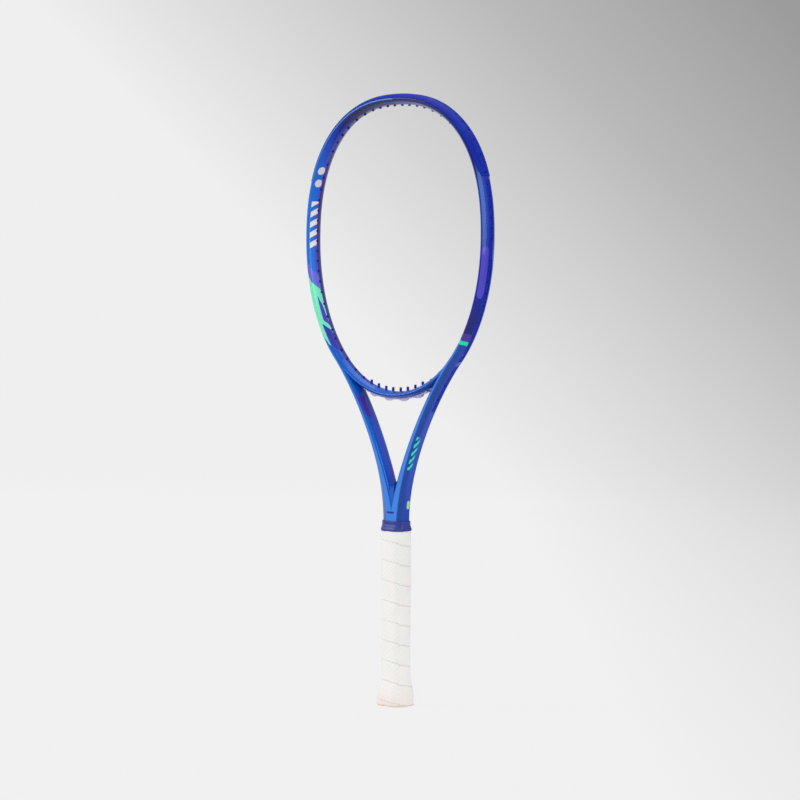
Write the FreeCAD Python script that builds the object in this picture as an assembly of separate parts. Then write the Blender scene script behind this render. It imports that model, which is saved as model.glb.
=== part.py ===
import FreeCAD, Part
import math, os
from FreeCAD import Vector

# Tennis racket without strings, standing on its butt.  Millimetres.
# Origin at the middle of the butt's underside, +Z to the head, X across the
# string face, Y through the string face (-Y is the front).

# ---- driving sizes -------------------------------------------------------
LENGTH = 685.8             # standard 27 inch racket, butt to the top of the guard
HEAD_HALF_WIDTH = 121.4    # string opening, centre to inner wall at the widest
HEAD_RISE = 148.3          # widest height up to the inner wall at the top
HEAD_DROP = 171.6          # widest height down to the bridge's inner wall
TOP_ROUNDNESS = 2.32       # superellipse power of the upper half, 2 is an ellipse
BOTTOM_ROUNDNESS = 2.05    # the same of the lower half

BEAM_WIDTH = 11.1          # tube size in the string plane
BEAM_HALF_DEPTH = 11.2     # half the tube size through the string plane
THROAT_HALF_DEPTH = 11.05  # the same where the arms leave the hoop
WALL = 1.8                 # laminate wall
OUTER_WALL = 3.2           # laminate under the grommet groove

ARM_LEAVE_DROP = 128.9     # how far below the widest height the arms leave the hoop
ARM_TURN = 2.8             # degrees the arms turn outward from the hoop there
ARM_INNER_PULLS = (62.0, 63.4)   # curve handles of the arm's inner line
ARM_OUTER_PULLS = (43.6, 66.9)   # curve handles of the arm's outer line
CROTCH_Z = 238.5           # where the two inner lines meet
CROTCH_LEAN = 12.8         # degrees from upright there
WEB_OUTLINE = ((0, 7.3), (1.5, 8.1), (2.4, 9.7), (3.3, 13.6), (2.4, -2.5), (1.2, -22.5))   # half of the crotch web: x, height over the crotch
WEB_INSET = .8             # how far the web's faces lie below the shaft's

SHAFT_TOP = 209.7          # top of the straight shaft
SHAFT_HALF_WIDTH = 15.05
SHAFT_HALF_DEPTH = 9.05
SHAFT_FACE = 7.65          # half width of the flat front face
SHAFT_SIDE = 4.95          # half depth of the flat side face

BRIDGE_THICKNESS = 7.8     # in the string plane, at the middle
BRIDGE_HALF_DEPTH = 9.8
BRIDGE_WALL = 1.7

HANDLE_TOP = 197.3         # top edge of the wrap
LEG_HALF_WIDTH = 12.4      # the tube legs are slimmer inside the handle
LEG_HALF_DEPTH = 8.2
LEG_TAPER = 10.0           # height over which they slim down
LEG_GAP = 11.0             # leg ends above the origin
PALLET_DROP = 8.0          # handle shells end this far below the wrap's top edge
PALLET_HALF_WIDTH = 14.4
PALLET_HALF_DEPTH = 12.2
PALLET_CUT = 5.4           # bevel of the octagonal handle
WRAP = 1.6                 # thickness of the grip
SOFT_GAP = 0.15            # soft pieces stay this clear of what they cover

BUTT_HALF_WIDTH = 20.4     # widest place of the wrapped butt
BUTT_HALF_DEPTH = 17.9
CAP_FLOOR = 3.0
CAP_TOP = 28.0
CAP_LIP = 1.4
FLARE_TOP = 37.0           # the wrap starts to widen here
BADGE_RADIUS = 9.0
BADGE_THICKNESS = 0.8

COLLAR_HEIGHT = 11.0
COLLAR_LIP = 4.6           # height of the part that hugs the shaft
COLLAR_CLEARANCE = 0.35
TAPE = 0.4

STRING_BORE = 0.85         # bore of every grommet
BARREL_RADIUS = 1.45
HOLE_CLEARANCE = 0.1       # drilled hole over barrel
MAIN_GAPS = (5.5, 10.3, 10.9, 10.6, 12.1, 12.3, 12.7, 8.7)
CROSS_GAPS = (11.5, 11.6, 11.6, 11.9, 12.3, 13.5, 14.5, 15.0, 9.9)
CROSS_MIDDLE = -2.3        # middle cross row from the widest height
BRIDGE_MAINS = 4           # mains each side that pass the bridge
DRILL_LEAN = 20.0          # degrees a hole may lean from the wall's normal
HEAD_STAND = 1.5           # barrels stand out of the inner wall at the top
SIDE_STAND = 0.7           # at the sides
BRIDGE_STAND = 4.4         # on the bridge

GUARD_END = 62.9           # guard's ends above the widest height
GUARD_THICKNESS = 0.9
GUARD_BLADE = 18.0         # height over which the guard's flanges narrow at its ends
STRIP_GAP = 1.0            # between neighbouring strips
STRIP_HALF_WIDTH = 3.0
STRIP_FLOOR = 1.3          # depth of a strip's underside below the tube's outer line
STRIP_FACE = 0.4           # depth of its face there
GROOVE_CLEARANCE = 0.05    # groove floor under the strip
SIDE_STRIP_END = -121.9    # side strip's lower end from the widest height
SHOULDER_END_Z = 333.3
SHOULDER_EXITS = (390.7, 376.6, 361.5, 345.4)   # outer ends of the outer four mains
THROAT_STRIP_HALF = 42.0
THROAT_STRIP_THICKNESS = 1.5
SADDLE_RADIUS = 7.0
SADDLE_DROP = 1.9

# ---- worked out from them ------------------------------------------------
WIDEST_Z = LENGTH - GUARD_THICKNESS - BEAM_WIDTH - HEAD_RISE
LEAVE_Z = WIDEST_Z - ARM_LEAVE_DROP
BOTTOM_RATIO = ARM_LEAVE_DROP / HEAD_DROP

# The tube's outline, as shares of half its width (inner side -1, outer side 1)
# and of its half depth.  Only the front half is listed; the back mirrors it.
HEAD_PROFILE = ((-1, .31), (-.42, .865), (-.05, 1), (.2, 1), (.75, .62), (1, .33))


def ring(angle):
    """Inner wall of the hoop: superellipse point and outward unit normal at an angle."""
    c, s = math.cos(angle), math.sin(angle)
    power, height = (TOP_ROUNDNESS, HEAD_RISE) if s >= 0 else (BOTTOM_ROUNDNESS, HEAD_DROP)
    r = (abs(c) ** power + abs(s) ** power) ** (-1 / power)
    normal = Vector(math.copysign((abs(c) * r) ** (power - 1) / HEAD_HALF_WIDTH, c), 0,
                    math.copysign((abs(s) * r) ** (power - 1) / height, s))
    normal.normalize()
    return Vector(HEAD_HALF_WIDTH * c * r, 0, WIDEST_Z + height * s * r), normal


def angle_at_x(x, upper):
    """Angle at which the hoop's inner wall passes x, on the upper or lower half."""
    power = TOP_ROUNDNESS if upper else BOTTOM_ROUNDNESS
    share = x / HEAD_HALF_WIDTH
    rise = (1 - abs(share) ** power) ** (1 / power)
    return math.atan2(rise if upper else -rise, share)


def angle_at_z(z):
    """Angle at which the right half of the hoop's inner wall passes z."""
    drop = z - WIDEST_Z
    power, height = (TOP_ROUNDNESS, HEAD_RISE) if drop >= 0 else (BOTTOM_ROUNDNESS, HEAD_DROP)
    share = drop / height
    return math.atan2(share, (1 - abs(share) ** power) ** (1 / power))


LEAVE_ANGLE = angle_at_z(LEAVE_Z)


def bezier(points, s):
    """Cubic curve through the first and last of four points."""
    a, b, c, d = points
    t = 1 - s
    return a * t ** 3 + b * (3 * t * t * s) + c * (3 * t * s * s) + d * s ** 3


def arm_lines():
    """Control points of the right arm's inner and outer lines."""
    start, normal = ring(LEAVE_ANGLE)
    along = Vector(normal.z, 0, -normal.x)
    turn = math.radians(ARM_TURN)
    turned = Vector(along.x * math.cos(turn) + along.z * math.sin(turn), 0,
                    -along.x * math.sin(turn) + along.z * math.cos(turn))
    lean = math.radians(CROTCH_LEAN)
    fall = Vector(-math.sin(lean), 0, -math.cos(lean))
    inner_end = Vector(-(CROTCH_Z - SHAFT_TOP) * math.tan(lean), 0, SHAFT_TOP)
    outer_start = start + normal * BEAM_WIDTH
    outer_end = Vector(SHAFT_HALF_WIDTH, 0, SHAFT_TOP)
    inner = (start, start + turned * ARM_INNER_PULLS[0],
             inner_end - fall * ARM_INNER_PULLS[1], inner_end)
    outer = (outer_start, outer_start + turned * ARM_OUTER_PULLS[0],
             outer_end + Vector(0, 0, ARM_OUTER_PULLS[1]), outer_end)
    return inner, outer


ARM_INNER, ARM_OUTER = arm_lines()


def shaft_profile():
    """The outline at the shaft: flat face, bevel and side, with its inner part past x = 0."""
    inner, outer = ARM_INNER[3].x, SHAFT_HALF_WIDTH
    middle, half = (inner + outer) / 2, (outer - inner) / 2
    side = SHAFT_SIDE / SHAFT_HALF_DEPTH
    share = lambda x: (x - middle) / half
    return ((-1, .5), (share(inner * .68), .9), (share(inner * .25), 1), (share(SHAFT_FACE), 1),
            (share((SHAFT_FACE + outer) / 2), (1 + side) / 2), (1, side))


SHAFT_PROFILE = shaft_profile()


def station(p):
    """Tube section at p, 0 at the top of the hoop, 1 where the arm leaves it, 2 at the shaft.

    Returns the inner point, outer point, half depth and the outline shares.
    """
    if p <= 1:
        angle = math.pi / 2 + (LEAVE_ANGLE - math.pi / 2) * p
        inner, normal = ring(angle)
        fall = max(0.0, math.sin(angle) / math.sin(LEAVE_ANGLE))
        depth = BEAM_HALF_DEPTH + (THROAT_HALF_DEPTH - BEAM_HALF_DEPTH) * fall
        return inner, inner + normal * BEAM_WIDTH, depth, HEAD_PROFILE
    s = p - 1
    ease = s * s * (3 - 2 * s)
    depth = THROAT_HALF_DEPTH + (SHAFT_HALF_DEPTH - THROAT_HALF_DEPTH) * ease
    shares = tuple((a[0] + (b[0] - a[0]) * ease, a[1] + (b[1] - a[1]) * ease)
                   for a, b in zip(HEAD_PROFILE, SHAFT_PROFILE))
    return bezier(ARM_INNER, s), bezier(ARM_OUTER, s), depth, shares


def p_at_angle(angle):
    """Station at a hoop angle."""
    return (angle - math.pi / 2) / (LEAVE_ANGLE - math.pi / 2)


def arm_p_at_z(z):
    """Station whose outer point has height z on the arm, by halving."""
    low, high = 1.0, 2.0
    for _ in range(40):
        middle = (low + high) / 2
        low, high = (middle, high) if station(middle)[1].z > z else (low, middle)
    return low


def closed(points):
    """Closed wire of straight edges."""
    return Part.makePolygon(list(points) + [points[0]])


def loft(wires, ruled=False):
    """Solid through closed wires."""
    return Part.makeLoft(wires, True, ruled)


def spread(first, last, count):
    """Evenly spaced values, both ends included."""
    return [first + (last - first) * i / (count - 1) for i in range(count)]


def mirrored(shape):
    """The left-hand twin."""
    return shape.mirror(Vector(0, 0, 0), Vector(1, 0, 0))


def joined(shapes):
    """One shape from overlapping or touching solids, without seams."""
    first, rest = shapes[0], shapes[1:]
    return (first.multiFuse(rest) if rest else first).removeSplitter()


def tube_wire(p):
    """Outline of the tube at a station."""
    inner, outer, depth, shares = station(p)
    middle, half = (inner + outer) * .5, (outer - inner) * .5
    front = [middle + half * u + Vector(0, -v * depth, 0) for u, v in shares]
    back = [middle + half * u + Vector(0, v * depth, 0) for u, v in reversed(shares)]
    return closed(front + back)


def bore_wire(p):
    """Outline of the hollow inside the tube at a station."""
    inner, outer, depth, shares = station(p)
    across = outer - inner
    width = across.Length
    across.normalize()
    low, high = WALL, width - OUTER_WALL
    near = depth - WALL
    side = near * .42
    spots = ((low, -side), (low + (high - low) * .3, -near), (low + (high - low) * .6, -near),
             (high, -side), (high, side), (low + (high - low) * .6, near),
             (low + (high - low) * .3, near), (low, side))
    return closed([inner + across * d + Vector(0, y, 0) for d, y in spots])


def octagon(half_width, half_depth, cut_x, cut_y, z):
    """Closed octagon about the Z axis, its corners cut back by cut_x and cut_y."""
    x, y = half_width, half_depth
    corners = ((x, y - cut_y), (x - cut_x, y))
    quarter = [(a, b) for a, b in corners]
    points = quarter + [(-a, b) for a, b in reversed(quarter)]
    points += [(-a, -b) for a, b in quarter] + [(a, -b) for a, b in reversed(quarter)]
    return closed([Vector(a, b, z) for a, b in points])


def column(levels):
    """Solid stacked from octagons given as (half width, half depth, cut x, cut y, z)."""
    return loft([octagon(*level) for level in levels], ruled=True)


def shaft_level(grow, z):
    """Octagon of the shaft, grown all round."""
    x, y = SHAFT_HALF_WIDTH + grow, SHAFT_HALF_DEPTH + grow
    return (x, y, SHAFT_HALF_WIDTH - SHAFT_FACE, SHAFT_HALF_DEPTH - SHAFT_SIDE, z)


def leg_level(grow, z):
    """Octagon of the two slim legs together, grown all round."""
    return (LEG_HALF_WIDTH + grow, LEG_HALF_DEPTH + grow, 5.0, 3.4, z)


def half_space(low_x, high_x, low_z, high_z):
    """Box between two x and two z values, through the whole depth."""
    return Part.makeBox(high_x - low_x, 80, high_z - low_z, Vector(low_x, -40, low_z))


def arm_outside():
    """Outside of the right half of the hoop and the right arm, down to the shaft."""
    arm = loft([tube_wire(p) for p in spread(0, 1, 19) + spread(1, 2, 13)[1:]])
    return arm.cut(half_space(-40, 0, 100, 300))


def arm_hollow():
    """Hollow of the right half: one piece in the hoop and one in the arm."""
    hoop = loft([bore_wire(p) for p in spread(-.01, 1, 19)])
    arm = loft([bore_wire(p) for p in spread(.995, 2, 13)])
    return [hoop, arm.cut(half_space(-40, WALL * .7, 100, 300))]


def shaft_outside(grow=0):
    """Outside of the shaft and of the two slim legs in the handle, grown all round."""
    taper_top = HANDLE_TOP - 1
    taper_end = taper_top - LEG_TAPER
    straight = column([shaft_level(grow, taper_top), shaft_level(grow, SHAFT_TOP)])
    taper = column([leg_level(grow, taper_end), shaft_level(grow, taper_top)])
    legs = column([leg_level(grow, LEG_GAP), leg_level(grow, taper_end)])
    return joined([straight, taper, legs])


def crotch_web():
    """Moulded web that rounds the crotch off between the arms, its faces set back."""
    right = [Vector(x, WEB_INSET - SHAFT_HALF_DEPTH, CROTCH_Z + z) for x, z in WEB_OUTLINE]
    left = [Vector(-v.x, v.y, v.z) for v in reversed(right[1:])]
    return Part.Face(closed(right + left)).extrude(Vector(0, 2 * (SHAFT_HALF_DEPTH - WEB_INSET), 0))


def leg_hollow(low, high):
    """Hollow of the right leg between two heights, sized by the slim leg."""
    x0, x1 = WALL * .7, LEG_HALF_WIDTH - WALL
    y = LEG_HALF_DEPTH - WALL
    spots = ((x0, -y), (x1 - 3, -y), (x1, -y * .5), (x1, y * .5), (x1 - 3, y), (x0, y))
    face = Part.Face(closed([Vector(a, b, low) for a, b in spots]))
    return face.extrude(Vector(0, 0, high - low))


def tube_between(start, end, radius):
    """Round bar from one point to another."""
    way = end - start
    return Part.makeCylinder(radius, way.Length, start, way)


def string_line(point, normal, string_way):
    """Direction of a string hole: along the string, or square to the wall if that leans less."""
    lean = math.degrees(normal.getAngle(string_way))
    return string_way if lean <= DRILL_LEAN else normal


def running_total(gaps):
    """Distances from the middle, each gap added to the last."""
    places, place = [], 0.0
    for gap in gaps:
        place += gap
        places.append(place)
    return places


MAIN_X = running_total(MAIN_GAPS)
CROSS_Z = [WIDEST_Z + CROSS_MIDDLE + side * place
           for side, places in ((1, [0] + running_total(CROSS_GAPS)), (-1, running_total(CROSS_GAPS)))
           for place in places]


def hole_on_hoop(angle, string_way, stand, over):
    """Barrel line through the hoop wall: inner tip, and outer end over the tube's outer line."""
    point, normal = ring(angle)
    way = string_line(point, normal, string_way)
    reach = BEAM_WIDTH / math.cos(normal.getAngle(way))
    return point - way * stand, point + way * (reach + over)


def head_lines():
    """Right-hand barrel lines of the mains at the top."""
    return [hole_on_hoop(angle_at_x(x, True), Vector(0, 0, 1), HEAD_STAND, GUARD_THICKNESS / 2)
            for x in MAIN_X]


def cross_lines(low, high, over):
    """Right-hand barrel lines of the crosses between two heights."""
    return [hole_on_hoop(angle_at_z(z), Vector(1, 0, 0), SIDE_STAND, over)
            for z in CROSS_Z if low < z < high]


def bridge_p(angle):
    """Share of the way from the bridge's middle (0) to where it meets the arms (1)."""
    return min(1.0, abs(math.cos(angle)) / math.cos(LEAVE_ANGLE)) ** 2


def bridge_width(angle):
    """Bridge thickness in the string plane, growing to the beam's width at its ends."""
    return BRIDGE_THICKNESS + (BEAM_WIDTH - BRIDGE_THICKNESS) * bridge_p(angle)


def bridge_lines():
    """Right-hand barrel lines of the mains that pass the bridge."""
    lines = []
    for x in MAIN_X[:BRIDGE_MAINS]:
        angle = angle_at_x(x, False)
        point, normal = ring(angle)
        reach = bridge_width(angle) / -normal.z + THROAT_STRIP_THICKNESS
        lines.append((point + Vector(0, 0, BRIDGE_STAND), point - Vector(0, 0, reach)))
    return lines


def shoulder_lines():
    """Right-hand barrel lines of the outer mains, through the bridge's end and the arm."""
    lines = []
    for x, z in zip(reversed(MAIN_X[BRIDGE_MAINS:]), SHOULDER_EXITS):
        point = ring(angle_at_x(x, False))[0]
        out = station(arm_p_at_z(z))[1]
        way = out - point
        way.normalize()
        lines.append((point - way * HEAD_STAND, out - way * STRIP_FACE))
    return lines


def drills(lines, radius, past):
    """Bars along barrel lines, longer at both ends by a given amount."""
    bars = []
    for start, end in lines:
        way = end - start
        way.normalize()
        bars.append(tube_between(start - way * past, end + way * past, radius))
    return bars


def both_sides(shapes):
    """Right-hand shapes and their left-hand twins."""
    return shapes + [mirrored(shape) for shape in shapes]


def band(sections, low, high, half_width):
    """Strip along the tube's outer side, from low to high off the outer line."""
    wires = []
    for inner, outer in sections:
        across = outer - inner
        across.normalize()
        wires.append(closed([outer + across * d + Vector(0, y, 0)
                             for d, y in ((low, -half_width), (high, -half_width),
                                          (high, half_width), (low, half_width))]))
    return loft(wires)


def hoop_sections(first_p, last_p, count):
    """Inner and outer points of evenly spaced stations."""
    return [station(p)[:2] for p in spread(first_p, last_p, count)]


def side_sections():
    """Stations under the right side strip."""
    top = p_at_angle(angle_at_z(WIDEST_Z + GUARD_END - STRIP_GAP))
    bottom = p_at_angle(angle_at_z(WIDEST_Z + SIDE_STRIP_END))
    return hoop_sections(top, bottom, 11)


def shoulder_sections():
    """Stations under the right shoulder strip."""
    top = p_at_angle(angle_at_z(WIDEST_Z + SIDE_STRIP_END)) + .012
    return hoop_sections(top, arm_p_at_z(SHOULDER_END_Z), 9)


def groove(sections):
    """Space cut into the tube for a strip."""
    return band(sections, -STRIP_FLOOR - GROOVE_CLEARANCE, 2, STRIP_HALF_WIDTH + HOLE_CLEARANCE)


def frame_hairpin(arm, shaft):
    """Carbon tube: hollow, grooved for the strips and drilled for the barrels."""
    hole = BARREL_RADIUS + HOLE_CLEARANCE
    right = arm.cut(arm_hollow()).cut([groove(side_sections()), groove(shoulder_sections())])
    for lines in (head_lines(), cross_lines(0, LENGTH, 0), shoulder_lines()):
        right = right.cut(drills(lines, hole, 4))
    legs = leg_hollow(LEG_GAP - 1, SHAFT_TOP + 1)
    return joined([right, mirrored(right), shaft.cut([legs, mirrored(legs)]), crotch_web()])


def bridge_loft(inset, half_depth, reach):
    """Right and left halves of the bridge in one loft, inset all round by a wall."""
    start, end = LEAVE_ANGLE, -math.pi - LEAVE_ANGLE
    middle = (start + end) / 2
    wires = []
    for angle in spread(middle + (start - middle) * reach, middle + (end - middle) * reach, 25):
        inner, normal = ring(angle)
        width = bridge_width(angle)
        centre, half = inner + normal * (width / 2), normal * (width / 2 - inset)
        front = [centre + half * u + Vector(0, -v * half_depth, 0) for u, v in HEAD_PROFILE]
        back = [centre + half * u + Vector(0, v * half_depth, 0) for u, v in reversed(HEAD_PROFILE)]
        wires.append(closed(front + back))
    return loft(wires)


def throat_bridge(arm):
    """Hollow bridge closing the hoop, its ends cut to lie against the arms."""
    solid = bridge_loft(0, BRIDGE_HALF_DEPTH, 1)
    hollow = bridge_loft(BRIDGE_WALL, BRIDGE_HALF_DEPTH - BRIDGE_WALL, .6)
    hole = BARREL_RADIUS + HOLE_CLEARANCE
    holes = both_sides(drills(bridge_lines() + shoulder_lines(), hole, 2))
    pieces = solid.cut(both_sides([arm])).cut([hollow] + holes)
    return max(pieces.Solids, key=lambda piece: piece.Volume)


def pierced(body, lines):
    """Strip joined with its barrels, every string bore open."""
    barrels = both_sides(drills(lines, BARREL_RADIUS, 0))
    bores = both_sides(drills(lines, STRING_BORE, 4))
    return joined([body] + barrels).cut(bores)


def one_sided(body, lines):
    """As pierced, for a strip that lies on the right side only."""
    barrels = drills(lines, BARREL_RADIUS, 0)
    return joined([body] + barrels).cut(drills(lines, STRING_BORE, 4))


def guard_wire(p):
    """Outline of the head guard: a skin over the tube's outer facets."""
    inner, outer, depth, shares = station(p)
    middle, half = (inner + outer) * .5, (outer - inner) * .5
    across = Vector(half)
    across.normalize()
    edge, corner, side = shares[3:]
    above = (outer.z - WIDEST_Z - GUARD_END) / GUARD_BLADE
    narrow = .2 + .75 * (1 - min(1.0, max(0.0, above)))
    start = (edge[0] + (corner[0] - edge[0]) * narrow, edge[1] + (corner[1] - edge[1]) * narrow)
    t = GUARD_THICKNESS
    under = [(start, 0, 0), (corner, 0, 0), (side, 0, 0)]
    over = [(start, t * .4, t * .5), (corner, t * .75, t * .7), (side, t, t * .4)]
    place = lambda item, sign: (middle + half * item[0][0] + across * item[1]
                                + Vector(0, sign * (item[0][1] * depth + item[2]), 0))
    return closed([place(item, -1) for item in under] + [place(item, 1) for item in reversed(under)]
                  + [place(item, 1) for item in over] + [place(item, -1) for item in reversed(over)])


def head_guard():
    """Bumper over the head, with the barrels of the top mains and the upper crosses."""
    end = p_at_angle(angle_at_z(WIDEST_Z + GUARD_END))
    blade = p_at_angle(angle_at_z(WIDEST_Z + GUARD_END + GUARD_BLADE))
    half = loft([guard_wire(p) for p in spread(0, blade, 9) + spread(blade, end, 5)[1:]])
    lines = head_lines() + cross_lines(WIDEST_Z + GUARD_END, LENGTH, GUARD_THICKNESS / 2)
    return pierced(joined([half, mirrored(half)]), lines)


def side_strip():
    """Right grommet strip beside the head, with the barrels of its crosses."""
    lines = cross_lines(WIDEST_Z + SIDE_STRIP_END, WIDEST_Z + GUARD_END, -STRIP_FACE)
    return one_sided(band(side_sections(), -STRIP_FLOOR, -STRIP_FACE, STRIP_HALF_WIDTH), lines)


def shoulder_grommets():
    """Right shoulder strip, with the long barrels of the outer four mains."""
    strip = band(shoulder_sections(), -STRIP_FLOOR, -STRIP_FACE, STRIP_HALF_WIDTH)
    return one_sided(strip, shoulder_lines())


def throat_strip():
    """Scalloped strip under the bridge: saddles where the string turns between two mains."""
    sections = []
    limit = angle_at_x(THROAT_STRIP_HALF, False)
    for angle in spread(limit, -math.pi - limit, 17):
        inner, normal = ring(angle)
        sections.append((inner, inner + normal * bridge_width(angle)))
    strip = band(sections, 0, THROAT_STRIP_THICKNESS, STRIP_HALF_WIDTH + .5)
    saddles = []
    for first in range(0, BRIDGE_MAINS, 2):
        x = (MAIN_X[first] + MAIN_X[first + 1]) / 2
        angle = angle_at_x(x, False)
        inner, normal = ring(angle)
        under = inner + normal * (bridge_width(angle) + THROAT_STRIP_THICKNESS + SADDLE_DROP)
        centre = under - normal * SADDLE_RADIUS
        saddles.append(Part.makeCylinder(SADDLE_RADIUS, 2 * STRIP_HALF_WIDTH,
                                         centre - Vector(0, STRIP_HALF_WIDTH, 0), Vector(0, 1, 0)))
    above = band(sections, -2 * SADDLE_RADIUS, 0, 2 * STRIP_HALF_WIDTH)
    lumps = [saddle.cut(above) for saddle in both_sides(saddles)]
    return pierced(joined([strip] + lumps), bridge_lines())


def handle_level(x, y, z):
    """Octagon of the handle, its bevels parallel to the shells' at any size."""
    cut = PALLET_CUT + (x - PALLET_HALF_WIDTH) * (2 - math.sqrt(2))
    return (x, y, cut, cut, z)


def pallet_level(grow, z):
    """Octagon of the handle shells, grown all round."""
    return handle_level(PALLET_HALF_WIDTH + grow, PALLET_HALF_DEPTH + grow, z)


def pallets(shaft, staples, tack):
    """Front and back handle shells, moulded to the legs that they hold."""
    block = column([pallet_level(0, CAP_FLOOR), pallet_level(0, HANDLE_TOP - PALLET_DROP)])
    body = block.cut([shaft] + staples + [tack])
    front = body.common(Part.makeBox(60, 30, 300, Vector(-30, -30, 0)))
    back = body.common(Part.makeBox(60, 30, 300, Vector(-30, 0, 0)))
    return front, back


def leg_plug():
    """Foam plug that closes the end of the right leg."""
    return leg_hollow(LEG_GAP, LEG_GAP + 26)


def butt_level(grow, z, share):
    """Octagon between the straight handle (share 0) and the widest butt (share 1)."""
    x = PALLET_HALF_WIDTH + WRAP + SOFT_GAP
    y = PALLET_HALF_DEPTH + WRAP + SOFT_GAP
    return handle_level(x + (BUTT_HALF_WIDTH - x) * share + grow,
                        y + (BUTT_HALF_DEPTH - y) * share + grow, z)


# Flare of the wrapped butt: height and share of the widening.
FLARE = ((CAP_LIP + .2, .97), (5.0, 1.0), (12.5, .97), (19.0, .68), (CAP_TOP, .22),
         (FLARE_TOP, 0.0), (HANDLE_TOP, 0.0))


def butt_cap(staples, tack):
    """Moulded cap on the end of the handle, its flare hidden under the wrap."""
    under = WRAP + SOFT_GAP
    flare = [butt_level(-under, z, share) for z, share in FLARE if z < CAP_TOP]
    flare[0] = butt_level(-under, CAP_LIP, FLARE[0][1])
    sleeve = column(flare + [butt_level(-under, CAP_TOP, FLARE[4][1])])
    lip = column([butt_level(-1.6, 0, 1.0), butt_level(0, CAP_LIP * .6, 1.0), butt_level(0, CAP_LIP, 1.0)])
    socket = column([pallet_level(.05, CAP_FLOOR), pallet_level(.05, CAP_TOP + 1)])
    recess = Part.makeCylinder(BADGE_RADIUS + .1, BADGE_THICKNESS + .1, Vector(0, 0, 0), Vector(0, 0, 1))
    return joined([sleeve, lip]).cut([socket, recess] + staples + [tack])


def butt_badge():
    """Blank disc set into the cap's underside."""
    return Part.makeCylinder(BADGE_RADIUS, BADGE_THICKNESS, Vector(0, 0, .1), Vector(0, 0, 1))


def cap_staples():
    """Wire staples, front and back, that pin the cap to the handle shells."""
    crown, leg, wire, z = 11.0, 4.6, .9, 21.0
    face = -(PALLET_HALF_DEPTH + 1.2)
    bar = Part.makeBox(crown, wire, wire, Vector(-crown / 2, face, z))
    ends = [Part.makeBox(wire, leg, wire, Vector(x, face, z)) for x in (-crown / 2, crown / 2 - wire)]
    front = joined([bar] + ends)
    back = front.mirror(Vector(0, 0, 0), Vector(0, 1, 0))
    return [front, back]


def grip_tack():
    """Small tack that holds the start of the wrap to the cap's side."""
    z, head = 15.0, PALLET_HALF_WIDTH + 2.2
    disc = Part.makeCylinder(2.2, .6, Vector(head, 0, z), Vector(1, 0, 0))
    shank = Part.makeCylinder(.6, 3.4, Vector(head - 3.3, 0, z), Vector(1, 0, 0))
    return joined([disc, shank])


def base_grip():
    """Cushion wrap on the handle and over the butt, as a plain closed sleeve."""
    outer = column([butt_level(0, z, share) for z, share in FLARE])
    inner = column([butt_level(-WRAP, z, share) for z, share in FLARE])
    return outer.cut([inner, shaft_outside(SOFT_GAP)])


def finishing_tape():
    """Tape round the shaft over the end of the wrap, hidden by the collar."""
    low, high = HANDLE_TOP + .6, HANDLE_TOP + COLLAR_HEIGHT - COLLAR_LIP - .8
    outer = column([shaft_level(TAPE, low), shaft_level(TAPE, high)])
    return outer.cut(column([shaft_level(0, low - 1), shaft_level(0, high + 1)]))


def collar_level(share, grow, z):
    """Octagon between the shaft (share 0) and the top of the wrap (share 1)."""
    shaft, wrap = shaft_level(0, 0), butt_level(0, 0, 0)
    blend = [a + (b - a) * share for a, b in zip(shaft, wrap)]
    return (blend[0] + grow, blend[1] + grow, blend[2], blend[3], z)


def grip_collar():
    """Rubber collar: a lip that hugs the shaft and a skirt that covers the wrap's end."""
    low = HANDLE_TOP + .3
    high = low + COLLAR_HEIGHT
    neck = high - COLLAR_LIP
    clear = COLLAR_CLEARANCE
    outer = column([collar_level(1, .1, low), collar_level(1, .35, low + 1.2),
                    collar_level(.9, .3, low + 2.6), collar_level(.35, .75, neck + .4),
                    collar_level(.1, clear + .75, high - 1.9), collar_level(.05, clear + .8, high - .4),
                    collar_level(0, clear + .5, high)])
    bore = column([shaft_level(clear, low - 1), shaft_level(clear, high + 1)])
    skirt = column([collar_level(.75, -.2, low - .1), collar_level(0, clear + TAPE, neck)])
    return outer.cut([bore, skirt])


def save(node, shape):
    """Write one node's solids."""
    shape = shape if shape.Solids else Part.Solid(shape)
    body = Part.makeCompound(shape.Solids)
    body.exportStep("parts/%s.step" % node)
    print(node, "solids", len(shape.Solids), "valid", shape.isValid(),
          "volume %.1f" % sum(s.Volume for s in shape.Solids))


def main():
    os.makedirs("parts", exist_ok=True)
    arm, shaft = arm_outside(), shaft_outside()
    staples, tack, badge = cap_staples(), grip_tack(), butt_badge()
    front, back = pallets(shaft, staples, tack)
    side, shoulder, plug = side_strip(), shoulder_grommets(), leg_plug()
    save("frame_hairpin", frame_hairpin(arm, shaft))
    save("throat_bridge", throat_bridge(arm))
    save("pallet_front", front)
    save("pallet_back", back)
    save("leg_plug_right", plug)
    save("leg_plug_left", mirrored(plug))
    save("butt_cap", butt_cap(staples, tack))
    save("butt_badge", badge)
    save("cap_staples", Part.makeCompound(staples))
    save("grip_tack", tack)
    save("base_grip", base_grip())
    save("finishing_tape", finishing_tape())
    save("grip_collar", grip_collar())
    save("head_guard", head_guard())
    save("side_strip_right", side)
    save("side_strip_left", mirrored(side))
    save("shoulder_grommets_right", shoulder)
    save("shoulder_grommets_left", mirrored(shoulder))
    save("throat_strip", throat_strip())


main()
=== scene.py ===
import math
import bmesh
import bpy
import numpy as np
from mathutils import Matrix, Vector


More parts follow.
